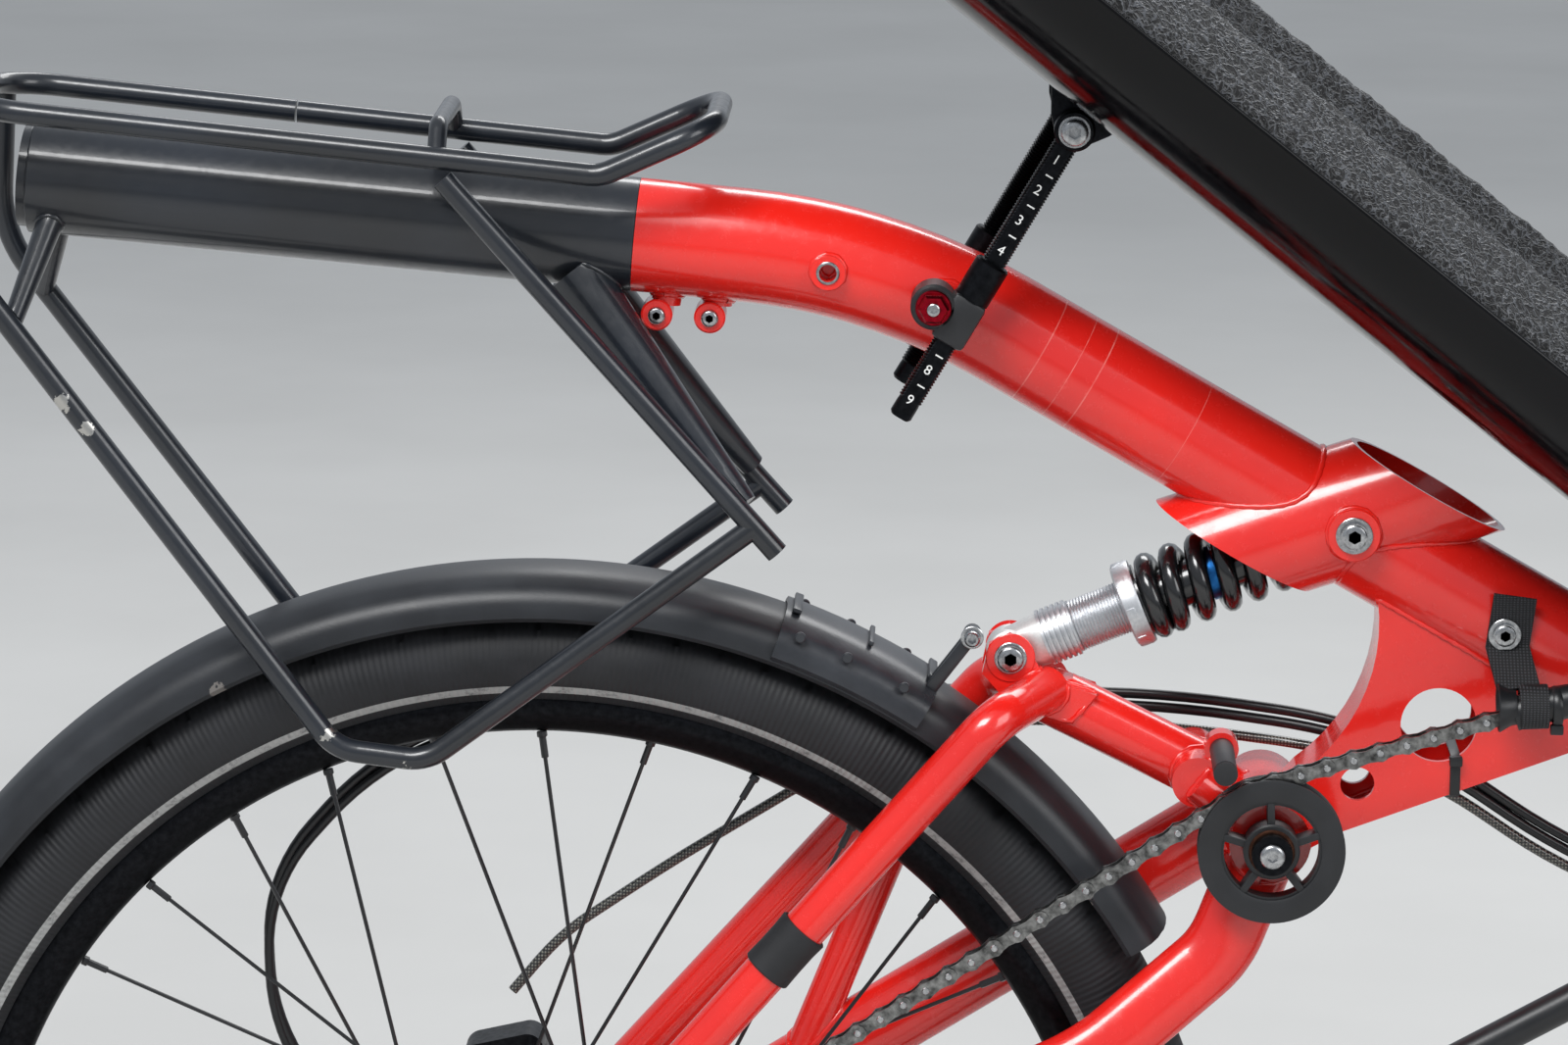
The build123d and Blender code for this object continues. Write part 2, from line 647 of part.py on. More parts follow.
def dish(path, low, high):
    """A shallow U between two heights above the shell's underside, set on the start of the seat's path."""
    half = [(SHELL_FLAT, 0.0), (SHELL_FLAT + 46.0, 22.0), (SHELL_FLAT + 65.0, 52.0)]
    line = [(-x, y) for x, y in reversed(half)] + half
    face = make_face(Polyline(*shifted(line, low), *reversed(shifted(line, high)), close=True))
    return Plane(origin=path @ 0, x_dir=(0, 1, 0), z_dir=path % 0) * face


def seat_shell():
    path = seat_path()
    return sweep(dish(path, 0.0, SHELL_T), path=path)


def seat_pad():
    path = seat_path()
    return sweep(dish(path, SHELL_T + SEAT_GAP, SHELL_T + SEAT_GAP + PAD_T), path=path)


ROD_TOP = (246.0, 562.0)
ROD_LOW = (168.0, 428.0)
CLAMP = (188.0, 477.0)


def rod_place(share):
    return (ROD_TOP[0] + (ROD_LOW[0] - ROD_TOP[0]) * share, ROD_TOP[1] + (ROD_LOW[1] - ROD_TOP[1]) * share)


def seat_rods():
    """Two stays from the shell's back to clamps on the main tube."""
    pieces = []
    for side in (-1, 1):
        body = straight(point(rod_place(-0.02), side * ROD_HALF), point(rod_place(1.0), side * ROD_HALF), 5.5)
        low, high = sorted((side * (ROD_HALF - 11.5), side * (ROD_HALF + 8.0)))
        block = make_face(Polyline((175.0, 490.0), (196.0, 501.0), (208.0, 479.0), (198.0, 462.0),
                                   (178.0, 462.0), close=True))
        body += plate(block, low, high)
        pieces.append(body)
    return pieces


def under_shell(x):
    """Height of the shell's underside along its straight back."""
    slope = (SHELL_KNEE[1] - SHELL_TOP[1]) / (SHELL_KNEE[0] - SHELL_TOP[0])
    return SHELL_TOP[1] + slope * (x - SHELL_TOP[0])


def seat_brackets():
    """Ears under the shell for the stays, and the saddle block on the main tube."""
    pieces = []
    for side in (-1, 1):
        y0 = side * (ROD_HALF + 7.0)
        rear, front = ROD_TOP[0] - 30.0, ROD_TOP[0] + 18.0
        ear = make_face(Polyline((rear, under_shell(rear) - SEAT_GAP), (front, under_shell(front) - SEAT_GAP),
                                 (ROD_TOP[0] + 8.0, ROD_TOP[1] - 14.0), (ROD_TOP[0] - 10.0, ROD_TOP[1] - 12.0),
                                 close=True))
        body = plate(ear, min(y0, y0 + side * 4.0), max(y0, y0 + side * 4.0))
        body += across(ROD_TOP, min(y0, y0 - side * 1.2), max(y0, y0 - side * 1.2), 7.0)
        pieces.append(body)
    return pieces


def seat_saddle():
    x = SHELL_FLOOR[0] - 20.0
    tube_top = boom_place(x)[1] + TUBE_R
    body = Pos(x, 0, (tube_top + SHELL_FLOOR[1]) / 2 - 3.0) * Box(46.0, 44.0, SHELL_FLOOR[1] - tube_top + 4.0)
    body -= main_tube(TUBE_R + SEAT_GAP)
    return body


# Chain and its tubes

def chain_wheels():
    """The circles that the chain bends round, as (centre, radius, turn); turn is 1 for anticlockwise."""
    return [
        ((0.0, 0.0), pitch_radius(SPROCKET_TEETH), -1),
        (PIVOT, pitch_radius(IDLER_TEETH), -1),
        (UPPER_GUIDE, UPPER_GUIDE_R, -1),
        (RISE_GUIDE, RISE_GUIDE_R, 1),
        (CRANK_AXLE, pitch_radius(RING_TEETH), -1),
        (RETURN_GUIDE, RETURN_GUIDE_R, 1),
        (JOCKEYS[1], pitch_radius(JOCKEY_TEETH), -1),
        (JOCKEYS[0], pitch_radius(JOCKEY_TEETH), 1),
    ]


def chain_run(first, second):
    """Where a straight run leaves one circle and meets the next."""
    (c1, r1, s1), (c2, r2, s2) = first, second
    dx, dz = c2[0] - c1[0], c2[1] - c1[1]
    heading = atan2(dz, dx) - asin((s2 * r2 - s1 * r1) / hypot(dx, dz))
    left = (-sin(heading), cos(heading))
    leave = (c1[0] - s1 * r1 * left[0], c1[1] - s1 * r1 * left[1])
    meet = (c2[0] - s2 * r2 * left[0], c2[1] - s2 * r2 * left[1])
    return leave, meet


def chain_loop(grow):
    """The chain's side-view outline, grown outwards by a distance."""
    wheels = [(c, r - s * grow, s) for c, r, s in chain_wheels()]
    count = len(wheels)
    runs = [chain_run(wheels[i], wheels[(i + 1) % count]) for i in range(count)]
    lines = []
    for i, (centre, radius, sense) in enumerate(wheels):
        arrive, leave = runs[i - 1][1], runs[i][0]
        start = atan2(arrive[1] - centre[1], arrive[0] - centre[0])
        end = atan2(leave[1] - centre[1], leave[0] - centre[0])
        sweep_angle = (sense * (end - start)) % (2 * pi)
        middle = start + sense * sweep_angle / 2
        crest = (centre[0] + radius * cos(middle), centre[1] + radius * sin(middle))
        lines.append(ThreePointArc(arrive, crest, leave))
        lines.append(Line(leave, runs[i][1]))
    return make_face(Curve() + lines)


def chain():
    band = chain_loop(CHAIN_H / 2) - chain_loop(-CHAIN_H / 2)
    return plate(band, CHAIN_Y - CHAIN_W / 2, CHAIN_Y + CHAIN_W / 2)


def on_run(run, x):
    """A place on a straight run of the chain at a distance forward."""
    (x1, z1), (x2, z2) = run
    return (x, z1 + (z2 - z1) * (x - x1) / (x2 - x1))


def meeting(run_a, run_b):
    """Where two straight runs would cross."""
    (ax, az), (bx, bz) = run_a
    (cx, cz), (dx, dz) = run_b
    slope_a, slope_b = (bz - az) / (bx - ax), (dz - cz) / (dx - cx)
    x = (cz - az + slope_a * ax - slope_b * cx) / (slope_a - slope_b)
    return (x, az + slope_a * (x - ax))


def chain_tubes():
    """Plastic tubes round the upper run and the return run."""
    wheels = chain_wheels()
    to_strap, under_seat, to_ring = (chain_run(wheels[i], wheels[i + 1]) for i in (1, 2, 3))
    from_ring, to_rear = (chain_run(wheels[i], wheels[i + 1]) for i in (4, 5))
    upper = [on_run(to_strap, TUBE_START_X), meeting(to_strap, under_seat), meeting(under_seat, to_ring),
             on_run(to_ring, TUBE_FRONT_X)]
    lower = [on_run(from_ring, TUBE_FRONT_X), meeting(from_ring, to_rear), on_run(to_rear, TUBE_RETURN_X)]
    pieces = []
    for places, bends in ((upper, [UPPER_GUIDE_R, RISE_GUIDE_R]), (lower, [RETURN_GUIDE_R])):
        line = [point(place, CHAIN_Y) for place in places]
        pieces.append(bent(line, TUBE_OUT_R, bends, TUBE_IN_R))
    return pieces


def idler_wheel():
    """A toothed wheel between two spoked guards."""
    bore = PIVOT_PIN_R + RUNNING_GAP
    body = toothed(PIVOT, CHAIN_Y, IDLER_TEETH, 3.0, bore + 3.0)
    reach = CHAIN_W / 2 + 2.6
    body += turned([(CHAIN_Y - reach, 14.0), (CHAIN_Y + reach, 14.0), (CHAIN_Y + reach, bore),
                    (CHAIN_Y - reach, bore)], PIVOT)
    for low in (CHAIN_Y - reach + 0.2, CHAIN_Y + reach - 1.7):
        guard = turned([(low, IDLER_GUARD_R), (low + 1.5, IDLER_GUARD_R), (low + 1.5, 23.0), (low, 23.0)], PIVOT)
        for i in range(5):
            drawing = side_plane(low + 1.5) * Pos(*PIVOT) * Rot(0, 0, 72 * i + 18) * Pos(18.5, 0)
            guard += extrude(drawing * Rectangle(11.0, 6.0), 1.5)
        body += guard
    return body


def pivot_bolt():
    """The swingarm's pin, which also carries the idler."""
    body = across(PIVOT, CHAIN_Y - 9.0, 66.0, PIVOT_PIN_R)
    body += across(PIVOT, CHAIN_Y - 13.0, CHAIN_Y - 7.0, 9.5)
    return body + across(PIVOT, 64.3, 70.0, 12.0)


def jockey_wheels():
    return [toothed(place, CHAIN_Y, JOCKEY_TEETH, 3.0, 4.0 + RUNNING_GAP) for place in JOCKEYS]


def tensioner():
    """The sprung cage under the rear dropout that keeps the chain tight."""
    (x1, z1), (x2, z2) = JOCKEYS
    pieces = []
    for low, high in ((CHAIN_Y - 7.0, CHAIN_Y - 5.0), (CHAIN_Y + 5.0, CHAIN_Y + 7.0)):
        slot = make_face(Polyline((x1, z1 + 9.0), (x2, z2 + 9.0), (x2, z2 - 9.0), (x1, z1 - 9.0), close=True))
        pieces.append(plate(slot, low, high))
        for place in JOCKEYS:
            pieces[-1] += across(place, low, high, 9.0)
    body = pieces[0] + pieces[1]
    for place in JOCKEYS:
        body += across(place, CHAIN_Y - 8.0, CHAIN_Y + 8.0, 4.0)
    body += across(JOCKEYS[0], CHAIN_Y - 22.0, CHAIN_Y - 7.0, 13.0)
    arm = make_face(Polyline((-12.0, -16.3), (14.0, -16.3), (x1 + 12.0, z1), (x1 - 12.0, z1), close=True))
    body += plate(arm, -REAR_DROPOUT_Y - 4.0, -REAR_DROPOUT_Y + 2.0)
    return body


def chain_peg():
    """A short rod out of the swingarm's boss."""
    return across(PEG, -72.0, -28.3, 5.6)


# Strap and cables

def strap():
    """Webbing from the main tube's side down to the chain tube's mouth."""
    line = Polyline((455.0, -TUBE_R - 1.4, 344.0), (452.0, -TUBE_R - 1.4, 320.0), (456.0, CHAIN_Y + 2.0, 304.5))
    section = Plane(origin=line @ 0, x_dir=(1, 0, 0), z_dir=line % 0) * Rectangle(20.0, 2.0)
    return sweep(section, path=line, transition=Transition.RIGHT)


CABLE_ROUTE = [(570.0, 21.0, 190.0), (520.0, 21.5, 194.0), (478.0, 22.0, 214.0), (424.0, 22.0, 250.0),
               (372.0, 26.0, 266.0), (300.0, 50.0, 270.0), (198.0, 69.5, 266.0), (96.0, 69.0, 266.0),
               (0.0, 68.0, 262.0), (-84.0, 67.0, 232.0), (-140.0, 67.0, 168.0), (-138.0, 70.0, 92.0),
               (-98.0, 76.0, 34.0)]
HOSE_ROUTE = [(570.0, 21.0, 183.0), (520.0, 21.5, 187.0), (478.0, 22.0, 206.0), (424.0, 22.0, 242.0),
              (372.0, 26.0, 257.0), (300.0, 50.0, 260.0), (212.0, 70.0, 258.0), (142.0, 69.0, 236.0),
              (60.0, 62.0, 186.0), (6.0, 56.0, 150.0)]


def natural_radii(points, radius):
    """For each corner, the largest bend that its two runs leave room for."""
    radii = []
    for before, here, after in zip(points, points[1:], points[2:]):
        first, second = Vector(here) - Vector(before), Vector(after) - Vector(here)
        turn = radians(first.get_angle(second))
        radii.append(min(radius, 0.45 * min(first.length, second.length) / tan(turn / 2)))
    return radii


def held_line(points, radius):
    """A cable along its route, each bend as large as its runs allow."""
    return bent([Vector(p) for p in points], radius, natural_radii(points, 900.0))


def cables():
    """Two gear cables from the guide under the seat round the left side to the rear hub."""
    pieces = []
    for rise, out in ((0.0, 0.0), (6.0, 0.2)):
        route = [(x, y + out, z + rise) for x, y, z in CABLE_ROUTE]
        start = (GUIDE_X - SEAT_GAP, 21.0, 190.0 + rise)
        end = (GEAR_BOX[0] - 14.0 - SEAT_GAP, GEAR_BOX[1], GEAR_BOX[2] + rise)
        pieces.append(held_line([start] + route + [end], CABLE_R))
    return pieces


def gear_box():
    """The cables' box on the left dropout."""
    return Pos(*GEAR_BOX) * Box(26.0, 12.0, 24.0)


def brake_hose():
    route = [(GUIDE_X - SEAT_GAP, 21.0, 183.0)] + HOSE_ROUTE + [(-18.0, REAR_DISC_Y + 4.0, 106.0 + 16.0)]
    return held_line(route, CABLE_R)


# Rear brake

def calliper(centre, y, angle, reach):
    """A brake calliper's two halves round the disc."""
    spot = polar(centre, DISC_R - 4.0 + reach, angle)
    body = plate(Pos(*spot) * Rot(0, 0, angle - 90) * RectangleRounded(40.0, 36.0, 8.0), y - 10.0, y + 14.0)
    slot = plate(Pos(*polar(centre, DISC_R - 30.0, angle)) * Rot(0, 0, angle - 90) * Rectangle(80.0, 88.0),
                 y - DISC_T / 2 - 1.0, y + DISC_T / 2 + 1.0)
    return body - slot


def rear_calliper():
    """The calliper on a tab that reaches the left dropout."""
    body = calliper((0, 0), REAR_DISC_Y, 103.0, 10.0)
    tab = make_face(Polyline((-34.0, 84.0), (-4.0, 92.0), (24.0, 30.0), (8.0, 20.0), close=True))
    body += plate(tab, REAR_DISC_Y + 4.0, REAR_DISC_Y + 8.8)
    return body + across((16.0, 28.0), REAR_DISC_Y + 4.0, REAR_DROPOUT_Y - 4.0 - SEAT_GAP, 5.0)


# Fork and front brake

def along_steer(base, distance, ahead=0.0, y=0.0):
    """A point at a distance up the steering direction and ahead of it."""
    return Vector(base[0] + STEER_DIR[0] * distance + STEER_FWD[0] * ahead, y,
                  base[1] + STEER_DIR[1] * distance + STEER_FWD[1] * ahead)


def side_view(spot):
    return (spot.X, spot.Z)


def steer_distance(z):
    return (z - STEER_BASE[1]) / STEER_DIR[1]


def fork_crown():
    """Steerer, crown and the two upper tubes, with the steering arm."""
    crown = steer_distance(HEAD_LOW) - 14.0
    body = straight(along_steer(STEER_BASE, crown),
                    along_steer(STEER_BASE, steer_distance(HEAD_HIGH) + 9.0), 14.95)
    body += straight(along_steer(STEER_BASE, crown - 11.0), along_steer(STEER_BASE, crown + 11.0), 23.0)
    body += straight(along_steer(STEER_BASE, crown - 4, 0, -FORK_HALF),
                     along_steer(STEER_BASE, crown - 4, 0, FORK_HALF), 13.0)
    for side in (-1, 1):
        top = along_steer(STEER_BASE, crown + 10.0, 0, side * FORK_HALF)
        body += straight(top, along_steer(STEER_BASE, crown - 10.0, 0, side * FORK_HALF), 19.0)
        body += straight(top, along_steer(STEER_BASE, 150.0, 0, side * FORK_HALF), 13.0)
    pin = along_steer(STEER_BASE, crown - 2.0, -ARM, ARM)
    root = along_steer(STEER_BASE, crown - 2.0, 0, 18.0)
    body += straight(root, pin, 5.6)
    body += straight(pin - Vector(*lift(6.0)), pin + Vector(*lift(6.0)), 9.0)
    body += straight(pin - Vector(*lift(22.0)), pin, 4.0)
    body += straight(point(polar(FRONT_AXLE, FRONT_FENDER_R + SEAT_GAP, CROWN_BOSS_ANGLE)),
                     point(polar(FRONT_AXLE, CROWN_BOSS_R, CROWN_BOSS_ANGLE)), 9.0)
    cap_low = along_steer(STEER_BASE, steer_distance(HEAD_HIGH) + 0.5)
    body += straight(cap_low, cap_low + Vector(*lift(9.0)), 21.0)
    return body


def lift(distance):
    """A shift up the steering direction."""
    return (STEER_DIR[0] * distance, 0.0, STEER_DIR[1] * distance)


def fork_lowers():
    pieces = []
    for side in (-1, 1):
        low = along_steer(STEER_BASE, -4.0, 0, side * FORK_HALF)
        high = along_steer(STEER_BASE, 150.0, 0, side * FORK_HALF)
        body = straight(low, high, FORK_LOWER_R)
        body -= straight(low + Vector(*lift(20.0)), high + Vector(*lift(5.0)), 13.0)
        foot = make_face(Polyline(
            side_view(along_steer(STEER_BASE, 22.0, -10.0)), side_view(along_steer(STEER_BASE, 18.0, 14.0)),
            (FRONT_AXLE[0] + 13.0, FRONT_AXLE[1] + 6.0), (FRONT_AXLE[0] + 6.0, FRONT_AXLE[1] - 14.0),
            side_view(along_steer(STEER_BASE, -14.0, 4.0)), close=True))
        y = side * FRONT_DROPOUT_Y
        body += plate(foot, y - 4.0, y + 4.0)
        pieces.append(body)
    both = pieces[0] + pieces[1]
    both -= across(FRONT_AXLE, -90, 90, AXLE_R + RUNNING_GAP)
    return both


def front_fender():
    body = fender(FRONT_AXLE, FRONT_FENDER_R, FRONT_FENDER_HALF, FRONT_FENDER_ARC)
    return body


def front_calliper():
    body = calliper(FRONT_AXLE, FRONT_DISC_Y, 176.0, 9.0)
    y = FRONT_DISC_Y + 11.0
    for z in (-84.0, -62.0):
        leg_x = steer_point(z, STEER_BASE)[0]
        half_gap = FORK_HALF - y
        face_x = leg_x - (FORK_LOWER_R ** 2 - half_gap ** 2) ** 0.5 / cos(radians(STEER_TILT))
        body += straight(point((FRONT_AXLE[0] - 80.0, z), y), point((face_x - 3.0, z), y), 3.0)
    return body


# Steering under the seat

def bar_clamp_point():
    return steer_point(BAR_AXIS_LOW_Z, BAR_AXIS)


def handlebar():
    """Pivot pin, clamp, arm for the tie rod and the bent bar."""
    base = bar_clamp_point()
    body = straight(along_steer(base, -14.0), along_steer(base, 36.0), 8.0)
    body += straight(along_steer(base, -16.0), along_steer(base, 14.0), 18.0)
    pin = along_steer(base, 0.0, -ARM, ARM)
    body += straight(along_steer(base, 0.0, -6.0, 6.0), pin, 5.6)
    body += straight(pin - Vector(*lift(6.0)), pin + Vector(*lift(6.0)), 9.0)
    body += straight(pin - Vector(*lift(22.0)), pin, 4.0)
    for side in (-1, 1):
        line = [along_steer(base, 0.0), along_steer(base, 0.0, -6.0, side * 150.0),
                along_steer(base, 12.0, -14.0, side * 262.0), along_steer(base, 190.0, -4.0, side * 285.0)]
        body += bent(line, BAR_R, [160.0, 48.0])
    return body


def grip_ends(side):
    base = bar_clamp_point()
    low, high = along_steer(base, 12.0, -14.0, side * 262.0), along_steer(base, 190.0, -4.0, side * 285.0)
    along = (high - low).normalized()
    return high - along * 96.0, high + along * 3.0, along


def grips():
    pieces = []
    for side in (-1, 1):
        low, high, along = grip_ends(side)
        pieces.append(straight(low, high, GRIP_R) - straight(low - along, high - along * 3.0, BAR_R))
    return pieces


def brake_levers():
    """Clamps and levers ahead of the grips."""
    pieces = []
    for side in (-1, 1):
        low, _, along = grip_ends(side)
        at = low - along * 12.0
        body = straight(at - along * 8.0, at + along * 8.0, BAR_R + 5.0)
        body -= straight(at - along * 30.0, at + along * 30.0, BAR_R)
        ahead = Vector(STEER_FWD[0], 0, STEER_FWD[1])
        root = at + ahead * (BAR_R + 16.0)
        body += straight(at + ahead * (BAR_R + 2.0), root, 8.0)
        body += straight(root, root + along * 92.0 + ahead * 12.0, 5.0)
        pieces.append(body)
    return pieces


def tie_rod():
    """The rod from the bar's arm to the fork's arm."""
    rear = along_steer(bar_clamp_point(), 0.0, -ARM, ARM) - Vector(*lift(15.0))
    crown = steer_distance(HEAD_LOW) - 14.0
    front = along_steer(STEER_BASE, crown - 2.0, -ARM, ARM) - Vector(*lift(15.0))
    along = (front - rear).normalized()
    body = straight(rear + along * 8.0, front - along * 8.0, 5.0)
    for spot in (rear, front):
        body += straight(spot - Vector(*lift(6.0)), spot + Vector(*lift(6.0)), 9.0)
    for spot in (rear, front):
        body -= straight(spot - Vector(*lift(9.0)), spot + Vector(*lift(9.0)), 4.0 + RUNNING_GAP)
    return body


# Cranks and pedals

def crank_end(side):
    """The right crank points forward and the left one back."""
    return (CRANK_AXLE[0] - side * CRANK_LENGTH, CRANK_AXLE[1])


def cranks():
    body = across(CRANK_AXLE, -CRANK_Y - ARM_T / 2, CRANK_Y + ARM_T / 2, 12.0)
    for side in (-1, 1):
        low, high = side * CRANK_Y - ARM_T / 2, side * CRANK_Y + ARM_T / 2
        end = crank_end(side)
        body += across(CRANK_AXLE, low, high, 17.0) + across(end, low, high, 13.0)
        x1, x2 = CRANK_AXLE[0], end[0]
        arm = make_face(Polyline((x1, CRANK_AXLE[1] + 15.0), (x2, CRANK_AXLE[1] + 11.0),
                                 (x2, CRANK_AXLE[1] - 11.0), (x1, CRANK_AXLE[1] - 15.0), close=True))
        body += plate(arm, low, high)
        outer = side * (CRANK_Y + ARM_T / 2)
        tip = side * (CRANK_Y + ARM_T / 2 + 100.0)
        body += across(end, min(outer, tip), max(outer, tip), 4.0)
    spider = Circle(32.0)
    for i in range(5):
        spider += Rot(0, 0, 72 * i) * Pos(33.0, 0) * Rectangle(56.0, 13.0)
    drawing = Plane(origin=point(CRANK_AXLE, CHAIN_Y - 2.1), x_dir=(1, 0, 0), z_dir=(0, -1, 0))
    body += extrude(drawing * spider, 5.0)
    body += across(CRANK_AXLE, -CRANK_Y, CHAIN_Y, 20.0)
    return body


def chainring():
    body = toothed(CRANK_AXLE, CHAIN_Y, RING_TEETH, 3.6, 52.0)
    return body


def pedal(side):
    """A block pedal on its spindle."""
    end = crank_end(side)
    inner = side * (CRANK_Y + ARM_T / 2 + 5.0)
    outer = inner + side * PEDAL_WIDE
    low, high = min(inner, outer), max(inner, outer)
    body = plate(Pos(*end) * RectangleRounded(PEDAL_LONG, PEDAL_T, 5.0), low, high)
    for shift in (-1, 1):
        body -= Pos(end[0] + shift * 27.0, (low + high) / 2, end[1]) * Box(26.0, PEDAL_WIDE - 26.0, 2 * PEDAL_T)
    body -= across(end, low - 1, high + 1, 4.0 + RUNNING_GAP)
    return body


def pedal_left():
    return pedal(1)


def pedal_right():
    return pedal(-1)


def rear_tyre():
    return tyre((0, 0), REAR_TYRE_R, REAR_TYRE_HALF, REAR_RIM_OUT)


def front_tyre():
    return tyre(FRONT_AXLE, FRONT_TYRE_R, FRONT_TYRE_HALF, FRONT_RIM_OUT)


def rear_rim():
    return rim((0, 0), REAR_RIM_IN, REAR_RIM_OUT)


def front_rim():
    return rim(FRONT_AXLE, FRONT_RIM_IN, FRONT_RIM_OUT)


def rear_spokes():
    return spokes((0, 0), REAR_FLANGE_R, REAR_FLANGE_Y, REAR_RIM_IN)


def front_spokes():
    return spokes(FRONT_AXLE, FRONT_FLANGE_R, FRONT_FLANGE_Y, FRONT_RIM_IN)


def rear_hub():
    return hub((0, 0), REAR_FLANGE_R, REAR_FLANGE_Y, REAR_HUB_R, -CHAIN_Y + 14.0, REAR_DISC_Y)


def front_hub():
    return hub(FRONT_AXLE, FRONT_FLANGE_R, FRONT_FLANGE_Y, FRONT_HUB_R, FRONT_DROPOUT_Y, FRONT_DISC_Y)


def rear_disc():
    return disc((0, 0), REAR_DISC_Y)


def front_disc():
    return disc(FRONT_AXLE, FRONT_DISC_Y)


# Parts table
PARTS = [
    main_frame, boom, tail_tube, swingarm, shock_body, shock_spring, frame_bolts, pivot_bolt, chain_peg,
    rear_axle_set, rear_tyre, rear_rim, rear_spokes, rear_hub, rear_disc, sprocket, rear_fender, fender_clip,
    rear_calliper, rack_rails, rack_struts, seat_shell, seat_pad, seat_rods, seat_brackets,
    seat_saddle, chain, chain_tubes, idler_wheel, tensioner, jockey_wheels, strap, cables, gear_box, brake_hose,
    fork_crown, fork_lowers, front_axle_set, front_tyre, front_rim, front_spokes, front_hub, front_disc,
    front_fender, front_calliper, handlebar, grips, brake_levers, tie_rod, cranks, chainring,
    pedal_left, pedal_right,
]


def placed(make):
    """A part with its solids moved to the model's origin on the seat."""
    made = make()
    solids = made.solids() if not isinstance(made, list) else [s for piece in made for s in piece.solids()]
    shift = Location((-SEAT_ORIGIN[0], 0, -SEAT_ORIGIN[1]))
    moved = [solid.moved(shift) for solid in solids]
    return moved[0] if len(moved) == 1 else Compound(children=moved)


if __name__ == "__main__":
    os.makedirs("parts", exist_ok=True)
    for make in PARTS:
        export_step(placed(make), f"parts/{make.__name__}.step")
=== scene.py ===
"""A recumbent bicycle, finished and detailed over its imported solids."""
import math
from collections import namedtuple

import bmesh
import bpy
from bmesh.types import BMEdge, BMVert
from mathutils import Matrix, Vector


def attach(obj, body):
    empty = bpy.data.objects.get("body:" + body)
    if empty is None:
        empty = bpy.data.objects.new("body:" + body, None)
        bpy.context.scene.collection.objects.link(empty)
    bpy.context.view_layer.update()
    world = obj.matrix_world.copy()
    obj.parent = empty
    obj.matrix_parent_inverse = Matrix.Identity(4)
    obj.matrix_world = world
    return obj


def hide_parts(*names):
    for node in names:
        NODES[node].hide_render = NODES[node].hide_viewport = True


bl_info = {
    "name": "Recumbent Bicycle",
    "version": (1, 0, 0),
    "blender": (4, 5, 0),
    "location": "3D View > Sidebar > Bicycle",
    "description": "Models the details and finishes of a recumbent bicycle",
    "category": "Object",
}

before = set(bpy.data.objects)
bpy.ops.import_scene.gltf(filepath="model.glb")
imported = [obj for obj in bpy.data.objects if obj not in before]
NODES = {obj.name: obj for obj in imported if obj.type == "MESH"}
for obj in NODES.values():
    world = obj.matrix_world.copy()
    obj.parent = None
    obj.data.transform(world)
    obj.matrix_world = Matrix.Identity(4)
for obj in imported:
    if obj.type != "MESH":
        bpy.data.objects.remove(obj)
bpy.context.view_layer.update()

# Places are millimetres from the middle of the rear axle; X forward, Y left, Z up.
# A place in side view is (X, Z).
MM = 0.001
SEAT_ORIGIN = Vector((612.0, 0.0, 368.0))
REAR_AXLE = (0.0, 0.0)
FRONT_AXLE = (1090.0, -78.0)
PIVOT = (343.6, 226.7)
CRANK_AXLE = (1500.0, 395.0)
CRANK_ARM = 170.0
PEDAL_Y = 120.0
PEG = (320.5, 268.5)
MAIN_BEND = (158.8, 494.2)
MAIN_LOW = (640.0, 222.0)
GROUND_Z = -328.0

# Bolts and bosses
SHOCK_LOW = (221.2, 307.7)
SHOCK_TOP = (378.9, 373.4)
CLIP_BOLT = (203.1, 319.4)
BRIDGE_BOLTS = [(54.0, 467.5), (78.7, 466.5)]
GUSSET_BOLT = (450.5, 326.0)
OPEN_BOSS = (134.0, 492.0)

# Wheels: the tyre's radius and half width, the rim's radii, the flanges that the spokes hook
# into, the valve's angle, the tyre's steps round the axle, and the stripe and grip of its rubber
Wheel = namedtuple("Wheel", "axle tyre_r half rim_out rim_in flange_r flange_y valve steps stripe grip")
WHEELS = {
    "rear": Wheel(REAR_AXLE, 328.0, 25.0, 283.0, 266.0, 50.0, 29.0, 236.0, 1440, 290.0, 640.0),
    "front": Wheel(FRONT_AXLE, 250.0, 23.5, 207.0, 192.0, 29.0, 27.0, 250.0, 1080, 213.5, 520.0),
}
SPOKES = 32
CROSS_ANGLE = 45.0
RIB_STEP, RIB_HEIGHT = 3.2, 0.28
TREAD_CUTS, CUT_SLANT, CUT_SHARE, CUT_DEPTH = 92, 55.0, 0.10, 1.3

# Chain
PITCH = 12.7
CHAIN_Y = -50.0
SPROCKET_TEETH, IDLER_TEETH, RING_TEETH, JOCKEY_TEETH = 13, 15, 44, 11
JOCKEYS = [(8.0, -62.0), (64.0, -58.0)]
UPPER_GUIDE = ((505.0, 152.0), 150.0)
RISE_GUIDE = ((770.0, 700.0), 400.0)
RETURN_GUIDE = ((690.0, -73.0), 300.0)
# Where the guide tubes hide the links: their ends along X, and the stretches inside each
UPPER_TUBE, UPPER_RUNS = (462.0, 1377.0), range(3, 8)
RETURN_TUBE, RETURN_RUNS = (338.0, 1377.0), range(9, 12)

# Coil spring
COIL_R = 16.4
COIL_TURNS = 7
COIL_STEPS = 16

